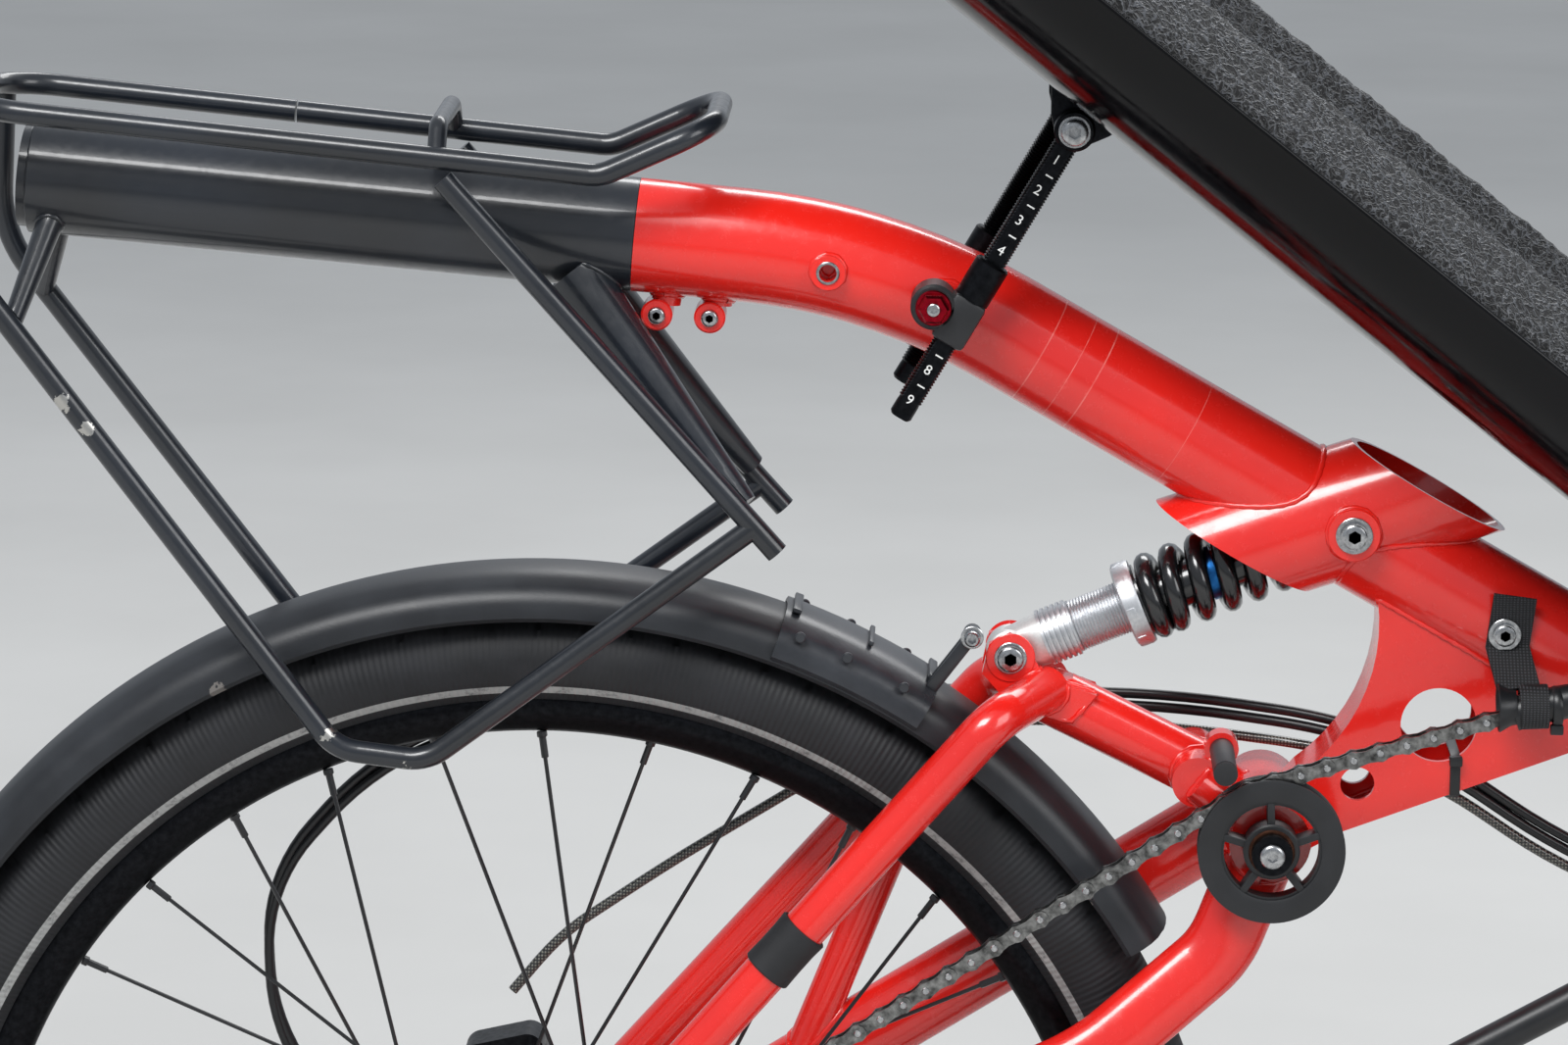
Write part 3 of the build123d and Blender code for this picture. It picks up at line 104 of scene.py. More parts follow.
# Seat stays: their ends and distance from the middle, then down from the top bolt the
# thread's pitch, collar, clamp and printed scale
ROD_TOP = (246.0, 562.0)
ROD_LOW = (168.0, 428.0)
ROD_OUT = 45.0
THREAD = 1.5
COLLAR = (71.5, 91.0)
GRIP = (90.5, 114.0)
NUT = (183.0, 480.5)
BRACKET = [(235.2, 584.3), (235.2, 568.0), (237.2, 560.0), (241.0, 555.2), (246.0, 552.8),
           (251.0, 553.4), (262.0, 558.2), (265.5, 560.6)]
FIRST_NUMERAL = 15.7
NUMERAL_STEP = 16.2
NUMERALS = 9
CAP_SHARE = 0.7

# Seat shell: corners of its underside in side view, the radii of its two bends, and half of
# its section as distance out and rise
SHELL_CORNERS = [(75.0, 709.0), (566.0, 324.0), (690.0, 320.0), (826.0, 374.0)]
SHELL_BENDS = (170.0, 260.0)
SHELL_HALF = [(0.0, 0.0), (50.0, 0.3), (80.0, 1.6), (102.0, 7.0), (120.0, 17.5), (133.0, 31.0),
              (141.0, 45.0), (144.6, 51.5)]

# Handlebar: its clamp, and each grip's low and high end as (up, ahead, out)
STEER_TILT = 18.0
BAR_AXIS = (620.0, 200.0)
BAR_Z = 160.0
GRIP_LOW, GRIP_HIGH = (12.0, -14.0, 262.0), (190.0, -4.0, 285.0)

# Camera
CAMERA_AIM = (113.9, 367.9)
CAMERA_DISTANCE = 2766.0
MM_PER_PIXEL = 0.4606
PHOTO_WIDTH = 1600.0
SENSOR = 36.0
CAMERA_TURN = (-1.74, 12.0, 0.50)


def spot(x, y, z):
    """A place in the row's frame, in metres."""
    return (Vector((x, y, z)) - SEAT_ORIGIN) * MM


def aside(place, y=0.0):
    """A place in side view set out to the left, in millimetres."""
    return place[0], y, place[1]


def polar(centre, radius, angle):
    """A place in side view at an angle above the forward direction."""
    turn = math.radians(angle)
    return centre[0] + radius * math.cos(turn), centre[1] + radius * math.sin(turn)


def shock_spot(distance):
    """A place on the shock's axis, from its lower eye."""
    low, top = Vector(SHOCK_LOW), Vector(SHOCK_TOP)
    return aside(low + (top - low).normalized() * distance)


def rod_at(distance, y, ahead=0.0):
    """A place down the seat stay from its top bolt, and ahead of its axis."""
    run = (Vector(ROD_LOW) - Vector(ROD_TOP)).normalized()
    return ROD_TOP[0] + run.x * distance - run.y * ahead, y, ROD_TOP[1] + run.y * distance + run.x * ahead


def given(item, **values):
    """Sets an item's values and gives the item."""
    for key, value in values.items():
        setattr(item, key, value)
    return item

# Materials

NOISE, VORONOI, WAVE = "ShaderNodeTexNoise", "ShaderNodeTexVoronoi", "ShaderNodeTexWave"
RAMP, MIX, BUMP = "ShaderNodeValToRGB", "ShaderNodeMix", "ShaderNodeBump"
MATH, VECTOR = "ShaderNodeMath", "ShaderNodeVectorMath"

# Rubbed rings on the main tube: a place on its axis in side view and half the ring's width,
# and the height that they stay above
RUBBED = [(232.0, 452.7, 0.28), (246.0, 444.8, 0.20), (256.0, 439.1, 0.3), (300.0, 414.2, 0.14)]
RUBBED_ABOVE = 385.0
# Chips on the rack and scuffs on the fender: a place and the patch's reach
RACK_MARKS = [(-262, -48, 571, 7), (-217, -57, 431, 10), (-206, -57, 419, 8), (-120, -57, 305, 6),
              (30, 54, 452, 16), (-96, -57, 276, 10), (-58, -57, 264, 9)]
FENDER_MARKS = [(-150, -31, 290, 9), (200, -31, 252, 8), (258, -31, 196, 12)]
# The wave texture's scale for threads 1 mm wide with 1 mm between them
WAVE_PER_MM = 159.0


def linear(colour):
    """An sRGB hex colour, or a plain level, as linear RGBA."""
    if not isinstance(colour, str):
        return [colour, colour, colour, 1.0]
    values = [int(colour[i:i + 2], 16) / 255 for i in (1, 3, 5)]
    return [v / 12.92 if v <= 0.04045 else ((v + 0.055) / 1.055) ** 2.4 for v in values] + [1.0]


def feed(tree, made, inputs):
    """Links or sets a node's inputs."""
    for key, value in inputs.items():
        if isinstance(value, bpy.types.NodeSocket):
            tree.links.new(value, made.inputs[key])
        else:
            made.inputs[key].default_value = linear(value) if isinstance(value, str) else value


def add_node(tree, kind, inputs=None, stops=(), output=None, **settings):
    """Adds one shader node with its settings, ramp stops and inputs, and gives one of its outputs."""
    made = given(tree.nodes.new(kind), **settings)
    for index, (position, colour) in enumerate(stops):
        band = made.color_ramp.elements
        element = band[index] if index < len(band) else band.new(position)
        element.position, element.color = position, linear(colour)
    feed(tree, made, inputs or {})
    return made.outputs[output] if output else next(out for out in made.outputs if out.enabled)


def per_mm(size):
    """A texture scale whose features are about a size in millimetres."""
    return 1000.0 / size


def blank(name):
    """A new material with its tree, shader and Object coordinates."""
    finish = bpy.data.materials.new(name)
    finish.use_nodes = True
    tree = finish.node_tree
    place = add_node(tree, "ShaderNodeTexCoord", output="Object")
    return finish, tree, tree.nodes["Principled BSDF"], place


def scuffs(tree, place, marks):
    """Bare patches: full within a few millimetres of each mark, ragged at the edge."""
    ragged = add_node(tree, NOISE, {"Vector": place, "Scale": per_mm(5.0), "Detail": 4.0, "Roughness": 0.7})
    total = 0.0
    for x, y, z, size in marks:
        gap = add_node(tree, VECTOR, {0: place, 1: spot(x, y, z)}, operation="DISTANCE")
        share = add_node(tree, MATH, {0: gap, 1: size * MM}, operation="DIVIDE")
        near = add_node(tree, MATH, {0: 1.0, 1: share}, operation="SUBTRACT", use_clamp=True)
        total = add_node(tree, MATH, {0: total, 1: near}, operation="MAXIMUM")
    worn = add_node(tree, MATH, {0: total, 1: ragged}, operation="MULTIPLY")
    return add_node(tree, MATH, {0: worn, 1: 0.3}, operation="GREATER_THAN")


def rub_rings(tree, place):
    """Faint broken rings that clamps have rubbed round the main tube."""
    run = Vector(aside(Vector(MAIN_LOW) - Vector(MAIN_BEND))).normalized()
    at = add_node(tree, VECTOR, {0: place, 1: run}, operation="DOT_PRODUCT")
    total = 0.0
    for x, z, half in RUBBED:
        centre = spot(x, 0.0, z).dot(run)
        ring = add_node(tree, MATH, {0: at, 1: centre, 2: half * MM}, operation="COMPARE")
        total = add_node(tree, MATH, {0: total, 1: ring}, operation="MAXIMUM")
    height = add_node(tree, "ShaderNodeSeparateXYZ", {0: place}, output="Z")
    above = add_node(tree, MATH, {0: height, 1: spot(0.0, 0.0, RUBBED_ABOVE).z}, operation="GREATER_THAN")
    patchy = add_node(tree, NOISE, {"Vector": place, "Scale": per_mm(14.0), "Detail": 5.0,
                                    "Roughness": 0.8})
    share = add_node(tree, RAMP, {0: patchy}, [(0.3, 0.05), (0.65, 0.4)])
    worn = add_node(tree, MATH, {0: total, 1: above}, operation="MULTIPLY")
    return add_node(tree, MATH, {0: worn, 1: share}, operation="MULTIPLY")


def painted(name, colour, dark, roughness, coat, peel_mm, worn=None, marks=(), rings=False,
            specular=0.5):
    """Sprayed metal: slow changes of tone, dust in the gloss, an orange peel, and chips where marked."""
    finish, tree, shader, place = blank(name)
    slow = add_node(tree, NOISE, {"Vector": place, "Scale": per_mm(90.0), "Detail": 2.0})
    tone = add_node(tree, RAMP, {0: slow}, [(0.35, dark), (0.65, colour)])
    fine = add_node(tree, NOISE, {"Vector": place, "Scale": per_mm(6.0), "Detail": 6.0, "Roughness": 0.75})
    dust = add_node(tree, RAMP, {0: fine}, [(0.45, roughness), (0.75, roughness + 0.16)])
    if rings:
        tone = add_node(tree, MIX, {0: rub_rings(tree, place), 6: tone, 7: "#FFB9B0"}, data_type="RGBA")
    if marks:
        mask = scuffs(tree, place, marks)
        tone = add_node(tree, MIX, {0: mask, 6: tone, 7: worn}, data_type="RGBA")
        feed(tree, shader, {"Metallic": mask})
    peel = add_node(tree, NOISE, {"Vector": place, "Scale": per_mm(2.2), "Detail": 2.0})
    feed(tree, shader, {"Base Color": tone, "Roughness": dust, "Coat Weight": coat, "Coat Roughness": 0.08,
                        "Specular IOR Level": specular,
                        "Normal": add_node(tree, BUMP, {"Height": peel, "Distance": peel_mm * MM})})
    return finish


def metal(name, colour, dark, roughness, grain_mm=3.0, depth=0.02):
    """Bare or anodised metal: a drawn or blasted grain that darkens and dulls in its hollows."""
    finish, tree, shader, place = blank(name)
    grain = add_node(tree, NOISE, {"Vector": place, "Scale": per_mm(grain_mm), "Detail": 5.0,
                                   "Roughness": 0.6})
    tone = add_node(tree, RAMP, {0: grain}, [(0.3, dark), (0.7, colour)])
    dull = add_node(tree, RAMP, {0: grain}, [(0.3, roughness + 0.12), (0.7, roughness)])
    feed(tree, shader, {"Base Color": tone, "Roughness": dull, "Metallic": 1.0,
                        "Normal": add_node(tree, BUMP, {"Height": grain, "Distance": depth * MM})})
    return finish


def moulded(name, colour, light, roughness, grain_mm=1.4, depth=0.05, worn="#6E6A66", marks=()):
    """Moulded plastic or rubber: spark-eroded grain, rubbed lighter in patches."""
    finish, tree, shader, place = blank(name)
    patch = add_node(tree, NOISE, {"Vector": place, "Scale": per_mm(60.0), "Detail": 5.0,
                                   "Roughness": 0.65})
    tone = add_node(tree, RAMP, {0: patch}, [(0.4, colour), (0.75, light)])
    if marks:
        mask = scuffs(tree, place, marks)
        tone = add_node(tree, MIX, {0: mask, 6: tone, 7: worn}, data_type="RGBA")
    rubbed = add_node(tree, RAMP, {0: patch}, [(0.3, roughness), (0.8, roughness + 0.15)])
    grain = add_node(tree, NOISE, {"Vector": place, "Scale": per_mm(grain_mm), "Detail": 3.0})
    feed(tree, shader, {"Base Color": tone, "Roughness": rubbed,
                        "Normal": add_node(tree, BUMP, {"Height": grain, "Distance": depth * MM})})
    return finish


def from_axle(tree, place, centre):
    """Distance from a wheel's axle and the angle round it."""
    origin = spot(*aside(centre))
    off = add_node(tree, VECTOR, {0: place, 1: origin}, operation="SUBTRACT")
    flat = add_node(tree, VECTOR, {0: off, 1: (1.0, 0.0, 1.0)}, operation="MULTIPLY")
    length = add_node(tree, VECTOR, {0: flat}, operation="LENGTH")
    across = add_node(tree, "ShaderNodeSeparateXYZ", {0: off}, output="X")
    up = add_node(tree, "ShaderNodeSeparateXYZ", {0: off}, output="Z")
    return length, add_node(tree, MATH, {0: up, 1: across}, operation="ARCTAN2")


def tyre_rubber(name, centre, stripe, grip):
    """Natural rubber, matt and faintly blue, with a worn woven reflective stripe on the sidewall."""
    finish, tree, shader, place = blank(name)
    radius, angle = from_axle(tree, place, centre)
    patch = add_node(tree, NOISE, {"Vector": place, "Scale": per_mm(45.0), "Detail": 6.0, "Roughness": 0.7})
    tone = add_node(tree, RAMP, {0: patch}, [(0.35, "#101114"), (0.75, "#232428")])
    band = add_node(tree, MATH, {0: radius, 1: stripe * MM, 2: 2.0 * MM}, operation="COMPARE")
    flakes = add_node(tree, NOISE, {"Vector": place, "Scale": per_mm(7.0), "Detail": 5.0, "Roughness": 0.8})
    kept = add_node(tree, RAMP, {0: flakes}, [(0.3, 0.3), (0.5, 1.0)])
    worn_band = add_node(tree, MATH, {0: band, 1: kept}, operation="MULTIPLY")
    tone = add_node(tree, MIX, {0: worn_band, 6: tone, 7: "#A7A8A6"}, data_type="RGBA")
    dull = add_node(tree, RAMP, {0: patch}, [(0.3, 0.55), (0.8, 0.8)])
    turns = add_node(tree, MATH, {0: angle, 1: grip}, operation="MULTIPLY")
    ribs = add_node(tree, MATH, {0: turns}, operation="SINE")
    height = add_node(tree, MATH, {0: ribs, 1: 0.5, 2: patch}, operation="MULTIPLY_ADD")
    feed(tree, shader, {"Base Color": tone, "Roughness": dull,
                        "Normal": add_node(tree, BUMP, {"Height": height, "Distance": 0.22 * MM})})
    return finish


def mesh_foam(name):
    """Spacer mesh of stiff black filament: open cells about 5 mm across with glossy strands, their tops
    painted grey as a highlight and the cells painted near black as shade.
    """
    finish, tree, shader, place = blank(name)
    warp = add_node(tree, NOISE, {"Vector": place, "Scale": per_mm(6.25), "Detail": 2.0}, output="Color")
    bent = add_node(tree, MIX, {0: 0.012, 4: place, 5: warp}, data_type="VECTOR")
    near = add_node(tree, VORONOI, {"Vector": bent, "Scale": per_mm(4.762)}, feature="DISTANCE_TO_EDGE")
    far = add_node(tree, VORONOI, {"Vector": bent, "Scale": per_mm(3.0303)}, feature="DISTANCE_TO_EDGE")
    strands = add_node(tree, RAMP, {0: near}, [(0.03, 1.0), (0.16, 0.0)])
    under = add_node(tree, RAMP, {0: far}, [(0.02, 0.55), (0.12, 0.0)])
    height = add_node(tree, MATH, {0: strands, 1: under}, operation="MAXIMUM")
    # painted light: strand tops light grey as a highlight, open cells near black as shade
    tone = add_node(tree, RAMP, {0: height}, [(0.0, "#030304"), (0.5, "#121315"), (1.0, "#46484C")])
    gloss = add_node(tree, RAMP, {0: height}, [(0.2, 0.9), (0.9, 0.34)])
    feed(tree, shader, {"Base Color": tone, "Roughness": gloss, "Sheen Weight": 0.15,
                        "Normal": add_node(tree, BUMP, {"Height": height, "Distance": 2.6 * MM})})
    return finish


def threads(name, colour, light, sizes, directions, roughness, coat, depth):
    """Woven or braided strands: two sets of bands that cross, painted lighter on their crowns as a highlight.
    """
    finish, tree, shader, place = blank(name)
    height = 1.0
    for size_mm, direction in zip(sizes, directions):
        bands = add_node(tree, WAVE, {"Vector": place, "Scale": WAVE_PER_MM / size_mm, "Distortion": 0.8,
                                      "Detail": 1.0}, wave_type="BANDS", bands_direction=direction)
        height = add_node(tree, MATH, {0: height, 1: bands}, operation="MULTIPLY")
    # painted highlight: the bands' crowns take the lighter colour
    tone = add_node(tree, RAMP, {0: height}, [(0.1, colour), (0.7, light)])
    feed(tree, shader, {"Base Color": tone, "Roughness": roughness, "Coat Weight": coat,
                        "Normal": add_node(tree, BUMP, {"Height": height, "Distance": depth * MM})})
    return finish


def lamp_floor(name, colour):
    """A pale matt floor, a little uneven."""
    finish, tree, shader, place = blank(name)
    cloud = add_node(tree, NOISE, {"Vector": place, "Scale": per_mm(400.0), "Detail": 4.0})
    feed(tree, shader, {"Base Color": add_node(tree, RAMP, {0: cloud}, [(0.3, colour), (0.7, "#C6C5C2")]),
                        "Roughness": 0.9})
    return finish


def make_finishes(looks):
    """Every finish of the bicycle, by name."""
    red = "#{:02X}{:02X}{:02X}".format(*(round(255 * channel) for channel in looks.frame_colour))
    return {
        # powder enamel under clear coat: bright edges and long reflections
        "red_enamel": painted("red powder enamel", red, "#D9201A", 0.2, 0.6, 0.02, rings=True),
        # satin spray that shows the rack's bare chips; its blue-grey black is partly the paint's own colour
        # and partly a painted reflection of the bluish sky
        "black_enamel": painted("black satin enamel", "#1B2028", "#13161B", 0.3, 0.4, 0.03, "#B9B7B2",
                                RACK_MARKS),
        # dyed aluminium: dark, with a soft metal sheen
        "black_anodised": metal("black anodised aluminium", "#232427", "#141517", 0.34),
        # bead-blasted aluminium: pale grey without mirror images
        "silver_alloy": metal("blasted aluminium", "#D3D4D6", "#BFC1C4", 0.36, 1.6, 0.008),
        # sand-cast aluminium of the shock's foot: almost white, coarser
        "cast_alloy": metal("cast aluminium", "#E6E6E4", "#D4D4D2", 0.5, 1.6, 0.03),
        # zinc-plated steel of bolts and axles: bright points of light
        "steel": metal("plated steel", "#C2C3C4", "#8F9092", 0.2, 2.0, 0.01),
        # ground disc: brushed and darker in the grooves
        "disc_steel": metal("ground stainless steel", "#B4B5B6", "#8B8C8D", 0.24, 1.5, 0.02),
        # oiled links: brown-grey dirt between bright edges
        "chain_steel": metal("oiled chain steel", "#9A9A98", "#3A3A39", 0.28, 4.0, 0.03),
        # sprayed coil: black with a wet highlight along each turn
        "spring_steel": painted("black sprayed spring steel", "#141416", "#0C0C0E", 0.18, 0.5, 0.02),
        # blackened wire: reads as a thin dark line
        "spoke_black": painted("black oxide steel", "#16171A", "#0E0F10", 0.3, 0.1, 0.01),
        # dyed nut: deep red with a metal flash
        "red_anodised": metal("red anodised aluminium", "#B5182A", "#7A0E1B", 0.24),
        # dyed band on the damper: one small cold accent
        "blue_anodised": metal("blue anodised aluminium", "#2C6FB0", "#1D4E86", 0.25),
        # bearing shield: brown stain under a worn shine
        "rust_steel": metal("rust-stained bearing steel", "#6B4636", "#33241E", 0.5),
        # fender sheet: grey-black, dull, scuffed where shoes touch it
        "dark_plastic": moulded("scuffed polycarbonate", "#191B1F", "#272A2F", 0.38, marks=FENDER_MARKS),
        # clip: a tone lighter and glossier than the fender below it
        "smoky_plastic": moulded("smoky clip plastic", "#24262A", "#3A3D42", 0.26),
        # hose wall: smooth and slightly waxy
        "tube_plastic": moulded("polyethylene tube", "#131416", "#202124", 0.3, 2.0, 0.02),
        # idler and clamp block: fine-grained matt black
        "idler_plastic": moulded("black nylon", "#18191B", "#27282B", 0.42, 1.2, 0.06),
        # grips and sleeve: soft, almost no highlight
        "rubber": moulded("soft black rubber", "#141416", "#232427", 0.6, 1.0, 0.06),
        # cable covers: thin lines with a sharp highlight
        "jacket": moulded("cable jacket vinyl", "#101113", "#1B1C1F", 0.28, 3.0, 0.01),
        # shell: deep black that mirrors the red tube
        "shell": painted("black lacquered laminate", "#07070A", "#040405", 0.1, 0.0, 0.008, specular=0.22),
        # seat pad: open cells painted near black as shade, with a thin painted grey highlight on each strand
        "foam": mesh_foam("black spacer mesh"),
        # strap: ribs across the band, painted lighter on their crowns as a highlight
        "webbing": threads("black webbing", "#08080A", "#3A3B3F", (0.55, 0.8), "ZX", 0.75, 0.0, 0.3),
        # brake hose: steel braid under a clear sleeve, its crowns lighter partly as the steel's own grey and
        # partly as a painted highlight
        "hose": threads("braided brake hose", "#1A1A1A", "#7B7A70", (0.8, 0.8), "ZX", 0.3, 0.6, 0.1),
        # printed numbers: flat white, no shine
        "ink": moulded("white print", "#E8E8E6", "#D8D8D4", 0.5),
        # vulcanised casings: dull blue-black with a pale worn stripe on the sidewall
        **{f"{which}_rubber": tyre_rubber(f"{which} tyre rubber", wheel.axle, wheel.stripe, wheel.grip)
           for which, wheel in WHEELS.items()},
    }


FINISHES = {}


# Modelling helpers

def along(start, end):
    """A matrix in millimetres that lays local Z on the way between two places."""
    first, last = spot(*start), spot(*end)
    turn = (last - first).to_track_quat("Z", "Y").to_matrix().to_4x4()
    return Matrix.Translation(first) @ turn @ Matrix.Scale(MM, 4)


def sideways(place, y=0.0, way=1):
    """A matrix in millimetres at a place in side view; local Z points left, or right if way is -1."""
    return along(aside(place, y), aside(place, y + way))


def axes(place, right, up):
    """A matrix in millimetres at a place, from its X and Y directions."""
    right, up = Vector(right).normalized(), Vector(up).normalized()
    turn = Matrix((right, up, right.cross(up))).transposed().to_4x4()
    return Matrix.Translation(spot(*place)) @ turn @ Matrix.Scale(MM, 4)


def level(x, y, z):
    """A matrix in millimetres at a place, with the bicycle's own directions."""
    return axes((x, y, z), (1, 0, 0), (0, 1, 0))


def only(geom, kind):
    """The elements of one kind among an operator's results."""
    return [g for g in geom if isinstance(g, kind)]


def merge(bm, part, matrix=None, slot=0):
    """Adds one bmesh to another through a matrix, with a material slot."""
    if matrix is not None:
        bmesh.ops.transform(part, matrix=matrix, verts=part.verts)
    bmesh.ops.recalc_face_normals(part, faces=part.faces)
    for face in part.faces:
        face.material_index = slot
    held = bpy.data.meshes.new("held")
    part.to_mesh(held)
    part.free()
    bm.from_mesh(held)
    bpy.data.meshes.remove(held)


def lathe(bm, profile, matrix, steps=64, closed=False, slot=0):
    """Spins (height, radius) points round the matrix's local Z."""
    part = bmesh.new()
    verts = [part.verts.new((radius, 0.0, height)) for height, radius in profile]
    pairs = list(zip(verts, verts[1:])) + ([(verts[-1], verts[0])] if closed else [])
    edges = [part.edges.new(pair) for pair in pairs]
    bmesh.ops.spin(part, geom=verts + edges, cent=(0, 0, 0), axis=(0, 0, 1), angle=2 * math.pi, steps=steps,
                   use_merge=True)
    bmesh.ops.remove_doubles(part, verts=part.verts, dist=1e-4)
    merge(bm, part, matrix, slot)


def repeated(points, step, count):
    """Profile points repeated at even steps of height."""
    return [(height + step * k, radius) for k in range(count) for height, radius in points]


def rod(bm, start, end, radius, steps=16, slot=0, bevel=0.0):
    """A round bar between two places, with an optional bevel at its ends."""
    length = (Vector(end) - Vector(start)).length
    b = min(bevel, radius * 0.6, length * 0.4)
    half = [(0, 0), (0, radius - b), (b, radius)]
    lathe(bm, half + [(length - h, r) for h, r in reversed(half)], along(start, end), steps, slot=slot)


def soften(part, offset):
    """Bevels every edge."""
    bmesh.ops.bevel(part, geom=part.edges, offset=offset, segments=2, profile=0.5, affect="EDGES",
                    material=-1)


def block(bm, size, matrix, bevel=0.5, slot=0):
    """A bevelled block of a size in the matrix's millimetres."""
    part = bmesh.new()
    bmesh.ops.create_cube(part, size=1.0, matrix=Matrix.Diagonal((*size, 1.0)))
    soften(part, bevel)
    merge(bm, part, matrix, slot)


def slab(bm, outline, thick, matrix, bevel=0.0):
    """A flat plate: an outline in the matrix's XY, raised along its Z."""
    part = bmesh.new()
    face = part.faces.new([part.verts.new((x, y, 0.0)) for x, y in outline])
    lifted = bmesh.ops.extrude_face_region(part, geom=[face])["geom"]
    bmesh.ops.translate(part, vec=(0, 0, thick), verts=only(lifted, BMVert))
    if bevel:
        soften(part, bevel)
    merge(bm, part, matrix)


def bolt_head(bm, matrix, radius, height, socket, slot=0):
    """A domed head with a hexagonal socket, rising along the matrix's local Z."""
    part = bmesh.new()
    bmesh.ops.create_circle(part, segments=24, radius=radius)
    loop = list(part.edges)
    for rise, wide in ((height * 0.62, radius), (height * 0.9, radius * 0.88), (height, radius * 0.74)):
        grown = bmesh.ops.extrude_edge_only(part, edges=loop)["geom"]
        verts = only(grown, BMVert)
        now = math.hypot(verts[0].co.x, verts[0].co.y)
        for v in verts:
            v.co = Vector((v.co.x * wide / now, v.co.y * wide / now, rise))
        loop = only(grown, BMEdge)
    top = Matrix.Translation((0, 0, height))
    hole = bmesh.ops.create_circle(part, segments=6, radius=socket, matrix=top)["verts"]
    rim = [e for e in part.edges if all(v in hole for v in e.verts)]
    bmesh.ops.bridge_loops(part, edges=loop + rim)
    low = only(bmesh.ops.extrude_edge_only(part, edges=rim)["geom"], BMVert)
    for v in low:
        v.co.z -= height * 0.7
    bmesh.ops.contextual_create(part, geom=low)
    merge(bm, part, matrix, slot)


def bolt_right(bm, place, y, radius, height, socket, washer):
    """A bolt head that faces the bicycle's right side, on a washer unless its radius is 0."""
    if washer:
        lathe(bm, [(0, 0), (0, washer - 0.2), (0.2, washer), (0.9, washer), (1.1, washer - 0.3), (1.1, 0)],
              sideways(place, y, -1), 32)
        y -= 1.1
    bolt_head(bm, sideways(place, y, -1), radius, height, socket)


def solid_of(curve):
    """A bmesh of a curve or text, which is then removed."""
    holder = bpy.data.objects.new(curve.name, curve)
    mesh = bpy.data.meshes.new_from_object(holder)
    bm = bmesh.new()
    bm.from_mesh(mesh)
    bpy.data.objects.remove(holder)
    bpy.data.curves.remove(curve)
    bpy.data.meshes.remove(mesh)
    return bm


def add_piece(bm, name, body, finishes, replaced=(), sharp=32.0):
    """Makes an object of a bmesh: merged, and smooth but for its sharp edges."""
    bmesh.ops.remove_doubles(bm, verts=bm.verts, dist=2e-6)
    limit = math.radians(sharp)
    for face in bm.faces:
        face.smooth = True
    for edge in bm.edges:
        if len(edge.link_faces) == 2 and edge.calc_face_angle(0.0) > limit:
            edge.smooth = False
    mesh = bpy.data.meshes.new(name)
    bm.to_mesh(mesh)
    bm.free()
    piece = bpy.data.objects.new(name, mesh)
    bpy.context.scene.collection.objects.link(piece)
    for finish in finishes:
        mesh.materials.append(FINISHES[finish])
    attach(piece, body)
    if replaced:
        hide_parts(*replaced)
    return piece


# Wheels

def make_tyre(which, wheel):
    """Casing with a raised tread and a ring of fine ribs on each sidewall."""
    outer, half, bead = wheel.tyre_r, wheel.half, wheel.rim_out
    middle = outer - half
    shoulder = math.sqrt(half ** 2 - (outer - 9.0 - middle) ** 2)
    side = [(-11.0, bead - 1.0), (-13.2, bead + 2.0), (-half * 0.80, bead + 7.0),
            (-half * 0.93, middle - 7.0), (-half, middle + 1.0), (-half * 0.975, middle + 5.0),
            (-half * 0.95, middle + 8.0), (-half * 0.90, middle + 11.0), (-shoulder - 0.5, outer - 9.4),
            (-shoulder + 0.7, outer - 8.4), (-half * 0.58, outer - 4.2), (-half * 0.30, outer - 1.0),
            (-half * 0.10, outer - 0.1)]
    bm = bmesh.new()
    lathe(bm, side + [(-y, r) for y, r in reversed(side)], sideways(wheel.axle), wheel.steps)
    origin = spot(*aside(wheel.axle))
    low, high = (middle + 3.5) * MM, (middle + 12.0) * MM
    ribs = round(2 * math.pi * (middle + 7.0) / RIB_STEP)
    for v in bm.verts:
        flat = Vector((v.co.x - origin.x, 0.0, v.co.z - origin.z))
        angle = math.atan2(flat.z, flat.x)
        if low < flat.length < high:
            v.co.y += math.copysign(RIB_HEIGHT * MM, v.co.y) * math.sin(angle * ribs)
        elif flat.length > (outer - 8.8) * MM and abs(v.co.y) > 0.2 * half * MM:
            phase = (angle * TREAD_CUTS / 2 / math.pi + abs(v.co.y) * CUT_SLANT) % 1.0
            if phase < CUT_SHARE:
                v.co -= flat.normalized() * CUT_DEPTH * MM
    add_piece(bm, f"{which}_tyre_tread", f"{which}_wheel", [f"{which}_rubber"], [f"{which}_tyre"],
              sharp=50.0)


def make_rim(which, wheel):
    """A hollow-section rim with rounded flanges, and its valve."""
    inner, outer = wheel.rim_in, wheel.rim_out
    profile = [(-9.8, outer - 1.0), (-10.4, outer + 0.6), (-12.2, outer + 0.6), (-13.0, outer - 1.0),
               (-13.0, outer - 4.5), (-12.2, outer - 6.5), (-6.4, inner + 2.2), (-4.0, inner + 0.4),
               (0.0, inner)]
    profile += [(-y, r) for y, r in reversed(profile[:-1])]
    bm = bmesh.new()
    lathe(bm, profile, sideways(wheel.axle), 288, closed=True)
    foot, tip, cap = (aside(polar(wheel.axle, inner - drop, wheel.valve)) for drop in (1.0, 30.0, 42.0))
    rod(bm, foot, tip, 3.0, 12, 1, 0.6)
    rod(bm, tip, cap, 4.0, 12, 2, 1.2)
    add_piece(bm, f"{which}_rim_section", f"{which}_wheel",
              ["black_anodised", "steel", "rubber"], [f"{which}_rim"])


